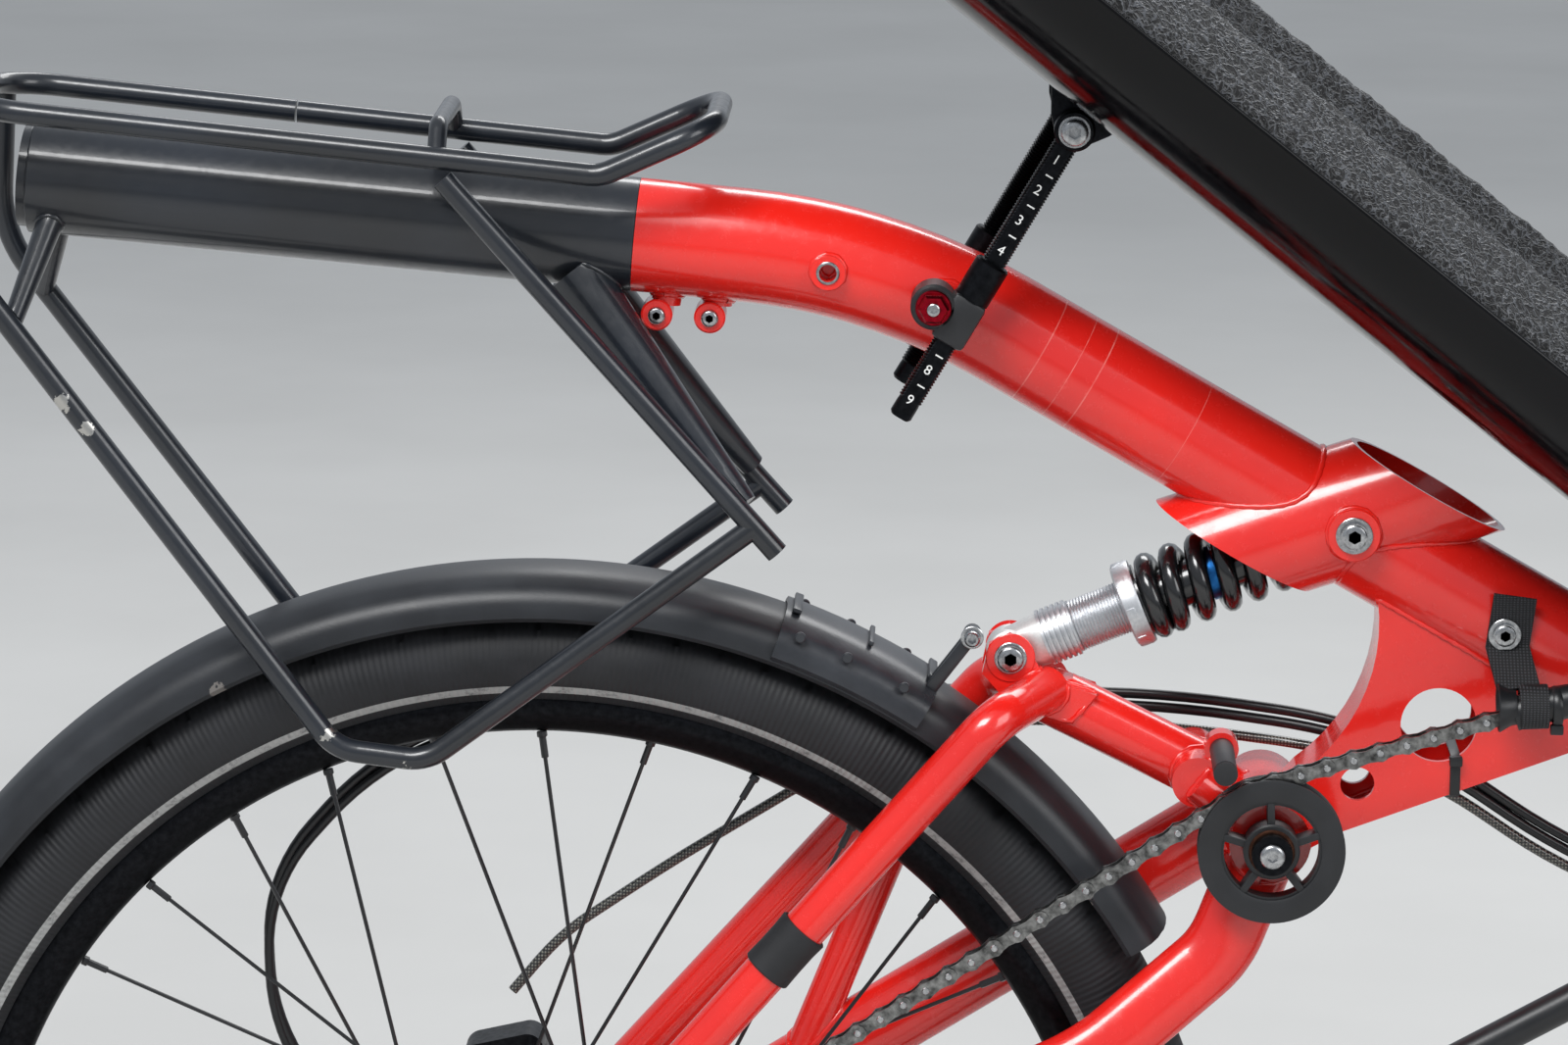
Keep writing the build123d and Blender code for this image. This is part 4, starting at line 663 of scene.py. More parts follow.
def make_spokes(which, wheel):
    """Crossed spokes, each with its elbow, head and nipple."""
    bm = bmesh.new()
    for i in range(SPOKES):
        side = 1 if i % 2 else -1
        lead = 1 if (i // 2) % 2 else -1
        angle = 360.0 * i / SPOKES
        hook = polar(wheel.axle, wheel.flange_r - 3.0, angle + lead * CROSS_ANGLE)
        start = Vector(aside(hook, side * (wheel.flange_y + lead * 3.0)))
        end = Vector(aside(polar(wheel.axle, wheel.rim_in, angle), side * 3.0))
        run = (end - start).normalized()
        rod(bm, start, end - run * 12.0, 1.0, 8)
        rod(bm, start - Vector((0, side * lead * 3.6, 0)), start, 1.1, 8)
        rod(bm, end - run * 13.0, end - run * 2.0, 1.75, 8, 0, 0.3)
        rod(bm, end - run * 3.0, end, 2.5, 8, 0, 0.4)
    add_piece(bm, f"{which}_spoke_set", f"{which}_wheel", ["spoke_black"],
              [f"{which}_spokes"])


class BIKE_OT_wheels(bpy.types.Operator):
    """Model the tyres, rims and spokes of both wheels"""
    bl_idname = "bike.wheels"
    bl_label = "Wheels"

    def execute(self, context):
        for make in (make_tyre, make_rim, make_spokes):
            for which, wheel in WHEELS.items():
                make(which, wheel)
        return {"FINISHED"}


# Chain

def pitch_radius(teeth):
    """The radius of the chain's pins round a toothed wheel."""
    return PITCH / (2 * math.sin(math.pi / teeth))


def chain_circles():
    """The circles that the chain wraps in side view, each with the way that it turns there."""
    return [(REAR_AXLE, pitch_radius(SPROCKET_TEETH), -1), (PIVOT, pitch_radius(IDLER_TEETH), -1),
            (*UPPER_GUIDE, -1), (*RISE_GUIDE, 1), (CRANK_AXLE, pitch_radius(RING_TEETH), -1),
            (*RETURN_GUIDE, 1), (JOCKEYS[1], pitch_radius(JOCKEY_TEETH), -1),
            (JOCKEYS[0], pitch_radius(JOCKEY_TEETH), 1)]


def chain_path():
    """The chain's stretches as (length, function from distance to a place in side view)."""
    circles = chain_circles()
    runs = []
    for (c1, r1, s1), (c2, r2, s2) in zip(circles, circles[1:] + circles[:1]):
        dx, dz = c2[0] - c1[0], c2[1] - c1[1]
        heading = math.atan2(dz, dx) - math.asin((s2 * r2 - s1 * r1) / math.hypot(dx, dz))
        left = Vector((-math.sin(heading), math.cos(heading)))
        runs.append((Vector(c1) - left * s1 * r1, Vector(c2) - left * s2 * r2))
    stretches = []
    for i, (centre, radius, sense) in enumerate(circles):
        arrive, leave = runs[i - 1][1] - Vector(centre), runs[i][0] - Vector(centre)
        start = math.atan2(arrive.y, arrive.x)
        angle = (sense * (math.atan2(leave.y, leave.x) - start)) % (2 * math.pi)
        stretches.append((radius * angle, lambda s, c=centre, r=radius, a=start, w=sense: Vector(
            (c[0] + r * math.cos(a + w * s / r), c[1] + r * math.sin(a + w * s / r)))))
        first, last = runs[i]
        stretches.append(((last - first).length, lambda s, a=first, b=last: a + (b - a).normalized() * s))
    return stretches


def chain_pins():
    """The chain's pins at even steps: each one's place in side view and the stretch that it is on."""
    stretches = chain_path()
    total = sum(length for length, _ in stretches)
    count = round(total / PITCH / 2) * 2
    pins = []
    for i in range(count):
        s = total * i / count
        for run, (length, place) in enumerate(stretches):
            if s <= length:
                pins.append((place(s), run))
                break
            s -= length
    return pins


def link_plate(bm, first, last, y, thick):
    """One figure-eight side plate between two pins."""
    run = last - first
    half, waist, end = run.length / 2, 2.9, 4.2
    outline = []
    for side in (1, -1):
        outline.append((0.0, side * waist))
        for angle in (125, 90, 55, 20, -20, -55, -90, -125):
            turn = math.radians(angle)
            outline.append((side * (half + end * math.cos(turn)), side * end * math.sin(turn)))
    ahead = Vector(aside(run))
    slab(bm, outline, thick, axes(aside((first + last) / 2, y + thick), ahead, (-ahead.z, 0.0, ahead.x)))


class BIKE_OT_chain(bpy.types.Operator):
    """Lay real links along the chain's path"""
    bl_idname = "bike.chain"
    bl_label = "Chain"

    def execute(self, context):
        thick = context.scene.bicycle_looks.plate_thickness / MM
        pins = chain_pins()
        bm = bmesh.new()
        for i, (first, run) in enumerate(pins):
            last = pins[(i + 1) % len(pins)][0]
            upper = run in UPPER_RUNS and UPPER_TUBE[0] < first.x < UPPER_TUBE[1]
            lower = run in RETURN_RUNS and RETURN_TUBE[0] < first.x < RETURN_TUBE[1]
            if upper or lower:
                continue
            gap = 2.5 if i % 2 else 1.5
            for y in (CHAIN_Y - gap - thick, CHAIN_Y + gap):
                link_plate(bm, first, last, y, thick)
            rod(bm, aside(first, CHAIN_Y - 3.9), aside(first, CHAIN_Y + 3.9), 1.9, 8, 1, 0.4)
            rod(bm, aside(first, CHAIN_Y - 1.5), aside(first, CHAIN_Y + 1.5), 3.6, 10, 1)
        add_piece(bm, "chain_links", "frame", ["chain_steel", "steel"], ["chain"])
        return {"FINISHED"}


# Shock absorber

def make_foot(bm, line):
    """The shock's cast foot, flattened to its eye's width near the lower end."""
    foot = bmesh.new()
    lathe(foot, [(0.5, 0.0), (0.5, 11.3), (8.0, 11.9), (15.0, 12.4), (19.0, 12.4), (19.0, 0)], line, 40)
    for v in foot.verts:
        if (line.inverted() @ v.co).z < 14.0:
            v.co.y = max(-8.5 * MM, min(8.5 * MM, v.co.y))
    merge(bm, foot, slot=5)


def coil_path(start, end, closed=0.8):
    """Places round the spring's wire between two heights, its end turns closed."""
    axis = (Vector(SHOCK_TOP) - Vector(SHOCK_LOW)).normalized()
    count = COIL_STEPS * COIL_TURNS
    slopes = []
    for k in range(count):
        from_end = min(k + 0.5, count - k - 0.5) / COIL_STEPS
        slopes.append(0.0 if from_end < closed - 0.5 else min(1.0, (from_end - closed + 0.5) / 0.7))
    coil = []
    for k in range(count + 1):
        turn = 2 * math.pi * (k / COIL_STEPS + 0.25)
        x, _, z = shock_spot(start + (end - start) * sum(slopes[:k]) / sum(slopes))
        out = COIL_R * math.cos(turn)
        coil.append((x - axis.y * out, COIL_R * math.sin(turn), z + axis.x * out))
    return coil


def wire_along(path, radius):
    """A bmesh of a smooth round wire on a NURBS path of places."""
    curve = given(bpy.data.curves.new("wire", "CURVE"), dimensions="3D", bevel_depth=radius * MM,
                  bevel_resolution=4, use_fill_caps=True, resolution_u=6)
    spline = curve.splines.new("NURBS")
    spline.points.add(len(path) - 1)
    for item, place in zip(spline.points, path):
        item.co = (*spot(*place), 1.0)
    given(spline, order_u=3, use_endpoint_u=True)
    return solid_of(curve)


class BIKE_OT_shock(bpy.types.Operator):
    """Model the shock's eyes, threaded body, damper and coil spring"""
    bl_idname = "bike.shock"
    bl_label = "Shock"

    def execute(self, context):
        length = (Vector(SHOCK_TOP) - Vector(SHOCK_LOW)).length
        line = along(shock_spot(0.0), shock_spot(length))
        bm = bmesh.new()
        eye = [(-8.5, 4.2), (-8.5, 9.2), (-7.7, 10.0), (7.7, 10.0), (8.5, 9.2), (8.5, 4.2)]
        cast_eye = [(y, radius * 1.13 if radius > 5.0 else radius) for y, radius in eye]
        lathe(bm, cast_eye, sideways(SHOCK_LOW), 48, True, 5)
        make_foot(bm, line)
        rings = [(17.0, 0.0), (17.0, 12.4),
                 *repeated([(17.2, 13.6), (18.6, 13.6), (18.9, 12.5), (19.5, 12.5)], 2.6, 6),
                 (33.0, 12.6), (33.0, 0.0)]
        thread = [(33.0, 0.0), *repeated([(33.0, 11.9), (33.75, 12.6)], 1.5, 17), (58.5, 11.9), (58.5, 0.0)]
        nut = [(57.6, 12.0), (57.6, 18.6), (58.6, 20.4), (64.8, 20.8), (66.4, 20.2), (66.4, 12.0)]
        body = [(66.4, 0), (66.4, 17.5), (67.6, 17.5), (67.6, 10.8), (length - 30.0, 10.8),
                (length - 30.0, 0)]
        band = [(99.0, 10.9), (99.0, 12.6), (104.5, 12.6), (104.5, 10.9)]
        shaft = [(length - 32.0, 0), (length - 32.0, 5.2), (length - 8.0, 5.2), (length - 8.0, 0)]
        cup = [(length - 19.8, 0), (length - 19.8, 20.4), (length - 15.6, 20.8), (length - 14.4, 20.0),
               (length - 14.4, 0)]
        for profile, slot, steps in ((rings, 0, 48), (thread, 0, 48), (nut, 1, 48), (body, 2, 48),
                                     (band, 3, 48), (shaft, 4, 32), (cup, 2, 48)):
            lathe(bm, profile, line, steps, slot=slot)
        for k in range(8):
            turn = Matrix.Rotation(k * math.pi / 4, 4, "Z")
            block(bm, (1.6, 5.0, 4.4), line @ turn @ Matrix.Translation((20.0, 0.0, 61.0)), 0.3, 1)
        lathe(bm, eye, sideways(SHOCK_TOP), 40, True, 1)
        add_piece(bm, "shock_damper", "frame",
                  ["silver_alloy", "silver_alloy", "spring_steel", "blue_anodised", "steel", "cast_alloy"],
                  ["shock_body"])
        wire = context.scene.bicycle_looks.wire_radius / MM
        coil = wire_along(coil_path(67.0 + wire, length - 20.4 - wire), wire)
        add_piece(coil, "shock_coil", "frame", ["spring_steel"], ["shock_spring"])
        return {"FINISHED"}


# Frame details

# Bolts that face right: place, distance left, then the head's radius, height and socket, and its
# washer's radius
RIGHT_BOLTS = [
    (SHOCK_TOP, -36.4, 6.4, 3.6, 3.2, 8.6),
    (SHOCK_LOW, -14.8, 6.4, 3.4, 3.2, 7.6),
    (GUSSET_BOLT, -29.4, 5.5, 3.0, 2.6, 7.6),
    (PIVOT, CHAIN_Y - 13.0, 5.8, 3.0, 2.6, 0.0),
    (BRIDGE_BOLTS[0], -9.4, 4.0, 2.4, 2.0, 0.0),
    (BRIDGE_BOLTS[1], -9.4, 4.0, 2.4, 2.0, 0.0),
    (ROD_TOP, -50.6, 6.2, 3.4, 3.0, 7.4),
    (CLIP_BOLT, -23.6, 3.8, 5.0, 2.0, 5.4),
]
# Signed angles, in radians, between faces that meet in a hollow
CREASES = (-2.5, -0.35)
# A weld bead's ripple step and its shortest run, in metres
RIPPLE, SHORTEST_BEAD = 0.003, 0.02


def spaced(places, step):
    """The same line with places an even step apart."""
    made, carry = [places[0]], 0.0
    for a, b in zip(places, places[1:]):
        length = (b - a).length
        at = step - carry
        while at < length:
            made.append(a.lerp(b, at / length))
            at += step
        carry = (carry + length) % step if length else carry
    made.append(places[-1])
    return made


def weld_paths(node, keep):
    """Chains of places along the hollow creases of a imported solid, where its tubes meet."""
    bm = bmesh.new()
    bm.from_mesh(NODES[node].data)
    bmesh.ops.remove_doubles(bm, verts=bm.verts, dist=2e-6)
    creases = [e for e in bm.edges
               if len(e.link_faces) == 2 and CREASES[0] < e.calc_face_angle_signed(0.0) < CREASES[1]
               and all(keep(v.co) for v in e.verts)]
    links = {}
    for e in creases:
        for v in e.verts:
            links.setdefault(v, []).append(e)
    used, chains = set(), []
    for e in creases:
        if e in used:
            continue
        used.add(e)
        halves = []
        for tail in (e.verts[1], e.verts[0]):
            half = [tail]
            while options := [n for n in links[half[-1]] if n not in used]:
                used.add(options[0])
                half.append(options[0].other_vert(half[-1]))
            halves.append(half)
        places = [v.co.copy() for v in halves[1][::-1] + halves[0]]
        if sum((b - a).length for a, b in zip(places, places[1:])) > SHORTEST_BEAD:
            chains.append(spaced(places, RIPPLE))
    bm.free()
    return chains


def weld_bead(nodes, name, finish, radius, keep=lambda place: True):
    """Rippled weld beads along the creases of some solids."""
    curve = given(bpy.data.curves.new("bead", "CURVE"), dimensions="3D", bevel_depth=radius * MM,
                  bevel_resolution=1)
    for node in nodes:
        for chain in weld_paths(node, keep):
            spline = curve.splines.new("POLY")
            spline.points.add(len(chain) - 1)
            for i, (item, place) in enumerate(zip(spline.points, chain)):
                given(item, co=(*place, 1.0), radius=1.12 if i % 2 else 0.86)
    add_piece(solid_of(curve), name, "frame", [finish], sharp=80.0)


def beside_slot(place):
    """True outside the narrow slot within the gusset, where a bead wouldn't show."""
    return not (abs(place.y) < 0.0135 and place.z < -0.02 and place.x > -0.28)


class BIKE_OT_frame_details(bpy.types.Operator):
    """Add the bolts, bosses, ties, sleeves and weld beads of the frame"""
    bl_idname = "bike.frame_details"
    bl_label = "Frame details"

    def execute(self, context):
        bm = bmesh.new()
        for bolt in RIGHT_BOLTS:
            bolt_right(bm, *bolt)
        lathe(bm, [(0, 4.1), (0, 5.4), (0.7, 5.4), (1.0, 5.0), (1.0, 4.1)],
              sideways(OPEN_BOSS, -30.4, -1), 32, True)
        add_piece(bm, "frame_bolt_heads", "frame", ["steel"])

        bm = bmesh.new()
        for place in BRIDGE_BOLTS:
            rod(bm, aside(place, -9.0), aside(place, 9.0), 7.4, 32, bevel=0.8)
        lathe(bm, [(-4.6, 6.0), (-4.6, 11.6), (-3.4, 12.4), (0.5, 12.4), (2.0, 14.0), (2.0, 6.0)],
              sideways(SHOCK_TOP, -31.6), 48, True)
        for side in (-1, 1):
            lathe(bm, [(0, 5.0), (0, 11.6), (0.5, 11.6), (0.8, 11.2), (0.8, 5.0)],
                  sideways(SHOCK_LOW, side * 14.0, side), 56, True)
        add_piece(bm, "frame_bosses", "frame", ["red_enamel"])
        bead = context.scene.bicycle_looks.weld_radius / MM
        weld_bead(["main_frame", "swingarm"], "frame_welds", "red_enamel", bead, beside_slot)
        weld_bead(["tail_tube"], "tail_welds", "black_enamel", bead * 0.8)

        bm = bmesh.new()
        lathe(bm, [(0, 10.6), (0, 11.6), (0.7, 12.2), (10.0, 11.9), (20.0, 11.9), (26.5, 12.3),
                   (27.2, 11.6), (27.2, 10.6)], along((109.1, -57.9, 165.6), (126.9, -56.5, 186.2)), 40, True)
        lathe(bm, [(0, 0), (0, 4.8), (0.9, 5.6), (3.2, 5.6), (3.6, 4.2), (3.6, 0)],
              sideways(PEG, -71.9, -1), 32)
        add_piece(bm, "stay_sleeve", "frame", ["rubber"])

        bm = bmesh.new()
        for x, z in ((471.5, 297.2), (485.0, 298.0)):
            lathe(bm, [(0, 8.1), (0, 9.0), (0.8, 9.5), (3.6, 9.5), (4.4, 9.0), (4.4, 8.1)],
                  along((x, CHAIN_Y, z), (x + 4.4, CHAIN_Y, z + 0.2)), 32, True)
            block(bm, (6.0, 4.0, 4.6), level(x + 2.2, CHAIN_Y - 3.0, z - 10.4), 0.6)
        lathe(bm, [(0, 8.1), (-3.0, 8.6), (-8.0, 11.4), (-8.6, 11.0), (-3.4, 7.4), (0, 6.0)],
              along((455.0, CHAIN_Y, 296.4), (456.0, CHAIN_Y, 296.45)), 40, True)
        for y in (-18.2, 18.2):
            block(bm, (4.8, 1.2, 19.4), level(430.6, y, 255.2), 0.3)
        for z in (246.0, 264.3):
            block(bm, (4.8, 37.4, 1.2), level(430.6, 0.0, z), 0.3)
        block(bm, (6.0, 4.4, 4.6), level(430.6, -20.0, 262.6), 0.6)
        add_piece(bm, "cable_ties", "frame", ["tube_plastic"])

        bm = bmesh.new()
        lathe(bm, [(0, 8.2), (0, 10.4), (13.0, 10.4), (13.0, 8.2)],
              along((456.5, CHAIN_Y, 296.5), (457.5, CHAIN_Y, 296.55)), 40, True)
        add_piece(bm, "strap_loop", "frame", ["webbing"])
        return {"FINISHED"}


# Seat

def make_pad(context):
    """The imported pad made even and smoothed, so that its edges round off."""
    bm = bmesh.new()
    bm.from_mesh(NODES["seat_pad"].data)
    bmesh.ops.remove_doubles(bm, verts=bm.verts, dist=1e-6)
    bmesh.ops.recalc_face_normals(bm, faces=bm.faces)
    pad = add_piece(bm, "seat_mesh_pad", "frame", ["foam"], ["seat_pad"])
    for kind, values in (("REMESH", {"mode": "VOXEL", "voxel_size": 0.006}),
                         ("SMOOTH", {"factor": 0.6, "iterations": 6})):
        changer = given(pad.modifiers.new(kind, kind), **values)
        with context.temp_override(object=pad, active_object=pad, selected_objects=[pad]):
            bpy.ops.object.modifier_apply(modifier=changer.name)
    for face in pad.data.polygons:
        face.use_smooth = True


def stay_axes():
    """The seat stay's length, and the directions down it and ahead of it."""
    run = Vector(aside(Vector(ROD_LOW) - Vector(ROD_TOP)))
    down = run.normalized()
    return run.length, down, Vector((-down.z, 0.0, down.x))


def lathe_dent(part, centre, reach):
    """Presses a round hollow into the faces near a place in metres."""
    for v in part.verts:
        gap = v.co - centre
        if gap.length < reach:
            v.co = centre + gap.normalized() * reach


def make_stay(side, rods, clamps, nuts):
    """One threaded seat stay with its collar, and its clamp with the nut that locks it."""
    length, down, ahead = stay_axes()
    stay = axes(aside(ROD_TOP, side * ROD_OUT), ahead, down.cross(ahead))
    thread = [(6.0, 0.0), (6.0, 5.1),
              *repeated([(7.0, 5.9), (7.0 + THREAD / 2, 5.2)], THREAD, round((length - 15.0) / THREAD)),
              (length - 7.0, 5.4), (length - 1.2, 5.4), (length, 4.4), (length, 0.0)]
    part = bmesh.new()
    lathe(part, thread, stay, 28)
    flat = spot(0.0, side * (ROD_OUT + 3.7), 0.0).y
    for v in part.verts:
        if side * v.co.y > side * flat:
            v.co.y = flat
    merge(rods, part)
    outer, inner = (aside(ROD_TOP, side * (ROD_OUT + out)) for out in (5.6, -5.2))
    rod(rods, outer, inner, 9.4, 40, 0, 0.9)

    part = bmesh.new()
    high, low = COLLAR
    lathe(part, [(high, 0.0), (high, 7.4), (high + 1.0, 8.3), (low, 8.3), (low, 0.0)], stay, 96)
    lathe_dent(part, spot(*rod_at(sum(COLLAR) / 2, side * (ROD_OUT + 13.0), 1.0)), 9.0 * MM)
    merge(rods, part)

    low, high = side * (ROD_OUT - 11.5), side * (ROD_OUT + 8.0)
    wide, middle, centre = abs(high - low), (low + high) / 2, sum(GRIP) / 2
    rod(clamps, aside(NUT, low), aside(NUT, high), 10.6, 56, 0, 1.2)
    for size, back, bevel in (((16.4, wide, GRIP[1] - GRIP[0]), 0.0, 2.4),
                              ((12.0, wide - 1.0, 18.0), -5.0, 1.0)):
        block(clamps, size, axes(rod_at(centre, middle, back), ahead, (0.0, -1.0, 0.0)), bevel)
    facing = sideways(NUT, high, side)
    lathe(nuts, [(0, 0), (0, 7.9), (0.6, 8.3), (1.6, 8.3), (2.2, 7.8), (2.2, 0)], facing, 48)
    lathe(nuts, [(2.2, 0), (2.2, 7.3), (5.6, 7.3), (7.0, 6.2), (7.0, 3.6), (6.6, 3.2), (6.6, 0)], facing, 6)
    bolt_head(nuts, facing @ Matrix.Translation((0.0, 0.0, 6.6)), 2.9, 0.9, 1.4, 1)


def glyph(text, size_mm):
    """A number as a thin flat mesh in millimetres, centred on the origin."""
    return solid_of(given(bpy.data.curves.new("glyph", "FONT"), body=text, size=size_mm, extrude=0.06,
                          align_x="CENTER", align_y="CENTER", resolution_u=3))


def make_scale(size):
    """The plain numbers printed down the right stay, and a tick between each two."""
    _, down, ahead = stay_axes()
    face = -ROD_OUT - 3.75
    bm = bmesh.new()
    for k in range(NUMERALS):
        at = FIRST_NUMERAL + NUMERAL_STEP * k
        if not COLLAR[0] - 3.0 < at < GRIP[1] + 3.0:
            merge(bm, glyph(str(k + 1), size), axes(rod_at(at, face, -0.3), ahead, -down))
        tick = at + NUMERAL_STEP / 2
        if k < NUMERALS - 1 and not COLLAR[0] - 1.0 < tick < GRIP[1] + 1.0:
            block(bm, (3.8, 0.7, 0.12), axes(rod_at(tick, face, 0.9), ahead, -down), 0.02)
    add_piece(bm, "stay_scale_print", "frame", ["ink"])


class BIKE_OT_seat(bpy.types.Operator):
    """Model the mesh pad, the seat stays with their clamps and the printed scale"""
    bl_idname = "bike.seat"
    bl_label = "Seat"

    def execute(self, context):
        make_pad(context)
        rods, clamps, nuts, brackets = (bmesh.new() for _ in range(4))
        for side in (-1, 1):
            make_stay(side, rods, clamps, nuts)
        add_piece(rods, "stay_rods", "frame", ["black_anodised"], ["seat_rods"])
        for y in (-35.0, 39.0):
            slab(brackets, BRACKET, 4.0, axes((0.0, y, 0.0), (1, 0, 0), (0, 0, 1)), 0.8)
        add_piece(brackets, "stay_brackets", "frame", ["black_anodised"], ["seat_brackets"])
        add_piece(clamps, "stay_clamps", "frame", ["idler_plastic"])
        add_piece(nuts, "clamp_nuts", "frame", ["red_anodised", "steel"], sharp=25.0)
        make_scale(context.scene.bicycle_looks.numeral_height / MM / CAP_SHARE)
        return {"FINISHED"}


def seat_stations():
    """Places and headings along the shell's underside, in side view."""
    corners = [Vector(p) for p in SHELL_CORNERS]
    ends, made = [corners[0]], []
    for before, here, after, radius in zip(corners, corners[1:], corners[2:], SHELL_BENDS):
        first, second = (here - before).normalized(), (after - here).normalized()
        reach = radius * math.tan(abs(first.angle_signed(second)) / 2)
        ends += [here - first * reach, here + second * reach]
    ends.append(corners[-1])
    for i in range(0, len(ends), 2):
        first, last = ends[i], ends[i + 1]
        heading = (last - first).normalized()
        count = 10 if i == 0 else 3
        made += [(first.lerp(last, k / count), heading) for k in range(count + 1)]
        if i + 2 < len(ends):
            after = (ends[i + 3] - ends[i + 2]).normalized()
            turn = math.atan2(heading.x * after.y - heading.y * after.x, heading.dot(after))
            centre = last + Vector((-heading.y, heading.x)) * math.copysign(SHELL_BENDS[i // 2], turn)
            for k in range(1, 8):
                swing = Matrix.Rotation(turn * k / 8, 2)
                made.append((centre + swing @ (last - centre), (swing @ heading).normalized()))
    return made


class BIKE_OT_shell(bpy.types.Operator):
    """Model the lacquered seat shell with a rolled edge"""
    bl_idname = "bike.shell"
    bl_label = "Seat shell"

    def execute(self, context):
        section = [(-y, up) for y, up in reversed(SHELL_HALF[1:])] + SHELL_HALF
        bm = bmesh.new()
        row = [bm.verts.new() for _ in section]
        loop = [bm.edges.new(pair) for pair in zip(row, row[1:])]
        for index, (place, heading) in enumerate(seat_stations()):
            if index:
                loop = only(bmesh.ops.extrude_edge_only(bm, edges=loop)["geom"], BMEdge)
                links = {v for e in loop for v in e.verts}
                row = [next(e.other_vert(v) for e in v.link_edges if e.other_vert(v) in links) for v in row]
            for v, (y, up) in zip(row, section):
                v.co = spot(place.x - heading.y * up, y, place.y + heading.x * up)
        bmesh.ops.recalc_face_normals(bm, faces=bm.faces)
        piece = add_piece(bm, "seat_shell_lacquer", "frame", ["shell"], ["seat_shell"],
                          sharp=60.0)
        middle = piece.data.polygons[len(piece.data.polygons) // 2]
        given(piece.modifiers.new("wall", "SOLIDIFY"), thickness=0.004,
              offset=-1.0 if middle.normal.z < 0 else 1.0)
        given(piece.modifiers.new("soft", "SUBSURF"), levels=2, render_levels=2)
        return {"FINISHED"}


# Idler

class BIKE_OT_idler(bpy.types.Operator):
    """Model the moulded idler with its five spokes and bearing"""
    bl_idname = "bike.idler"
    bl_label = "Idler"

    def execute(self, context):
        matrix = sideways(PIVOT, CHAIN_Y)
        bm = bmesh.new()
        ring = [(4.4, 23.4), (4.4, 33.2), (5.0, 34.3), (5.9, 34.3), (6.1, 33.6), (6.1, 25.0), (5.5, 23.4)]
        for side in (-1, 1):
            lathe(bm, [(side * y, r) for y, r in ring], matrix, 96, True)
        lathe(bm, [(-4.4, 22.2), (-4.4, 24.6), (4.4, 24.6), (4.4, 22.2)], matrix, 72, True)
        hub = [(-6.1, 8.2), (-6.1, 12.4), (-5.4, 13.2), (5.4, 13.2), (6.1, 12.4), (6.1, 8.2)]
        lathe(bm, hub, matrix, 48, True)
        for count, first, reach, size in ((5, 16.0, 18.0, (12.0, 3.6, 10.4)),
                                          (IDLER_TEETH, 0.0, 24.6, (3.4, 2.6, 3.0))):
            for k in range(count):
                turn = Matrix.Rotation(math.radians(360.0 / count * k + first), 4, "Z")
                block(bm, size, matrix @ turn @ Matrix.Translation((reach, 0.0, 0.0)), 0.6)
        lathe(bm, [(-7.4, 8.2), (-7.4, 10.2), (-6.6, 10.8), (-6.0, 10.8), (-6.0, 8.2)], matrix, 40, True, 1)
        add_piece(bm, "idler_moulding", "idler", ["idler_plastic", "rust_steel"],
                  ["idler_wheel"])
        return {"FINISHED"}


# Fenders

def gutter(centre, radius, half, arc, thick):
    """A curved shell over a wheel: a crowned section spun through an arc."""
    part = bmesh.new()
    section = [(-half, radius - 20.0), (-half * 0.995, radius - 13.5), (-half * 0.93, radius - 9.0),
               (-half * 0.80, radius - 5.2), (-half * 0.62, radius - 3.0), (-half * 0.56, radius - 1.9),
               (-half * 0.30, radius - 0.5), (0.0, radius)]
    section += [(-y, r) for y, r in reversed(section[:-1])]
    inner = [(y * (half - thick) / half, r - thick) for y, r in reversed(section)]
    face = part.faces.new([part.verts.new((r, 0.0, y)) for y, r in section + inner])
    start, end = (math.radians(a) for a in arc)
    bmesh.ops.rotate(part, cent=(0, 0, 0), matrix=Matrix.Rotation(start, 3, "Z"), verts=part.verts)
    bmesh.ops.spin(part, geom=[face], cent=(0, 0, 0), axis=(0, 0, 1), angle=end - start,
                   steps=max(8, round((end - start) * 40)))
    bmesh.ops.remove_doubles(part, verts=part.verts, dist=1e-4)
    flip = Matrix(((1, 0, 0, 0), (0, 0, 1, 0), (0, 1, 0, 0), (0, 0, 0, 1)))
    bm = bmesh.new()
    merge(bm, part, Matrix.Translation(spot(*aside(centre))) @ Matrix.Scale(MM, 4) @ flip)
    return bm


def make_clip():
    """The clip over the rear fender: its bridge, ribs, rivets and the arm to its bolt."""
    bm = gutter(REAR_AXLE, 350.0, 34.6, (57.4, 70.6), 2.2)
    for angle, wide in ((58.2, 4.2), (63.6, 2.4), (69.8, 4.2)):
        turn = math.radians(angle)
        place, down = aside(polar(REAR_AXLE, 350.6, angle)), (math.sin(turn), 0.0, -math.cos(turn))
        block(bm, (wide, 34.0, 2.4), axes(place, down, (0.0, 1.0, 0.0)), 0.6)
    for side in (-1, 1):
        for angle in (60.0, 65.0, 69.0):
            rivet = polar(REAR_AXLE, 343.5, angle)
            rod(bm, aside(rivet, side * 34.0), aside(rivet, side * 36.2), 2.6, 16, 0, 0.5)
    foot = Vector(polar(REAR_AXLE, 350.0, 57.9))
    reach = Vector(CLIP_BOLT) - foot
    ahead = Vector(aside(reach)).normalized()
    for y in (-21.4, -15.0):
        lay = axes(aside((foot + Vector(CLIP_BOLT)) / 2, y), ahead, (-ahead.z, 0, ahead.x))
        block(bm, (reach.length + 7.0, 6.0, 2.2), lay, 0.8)
    rod(bm, aside(CLIP_BOLT, -12.0), aside(CLIP_BOLT, -24.0), 4.2, 20, 0, 0.5)
    return bm


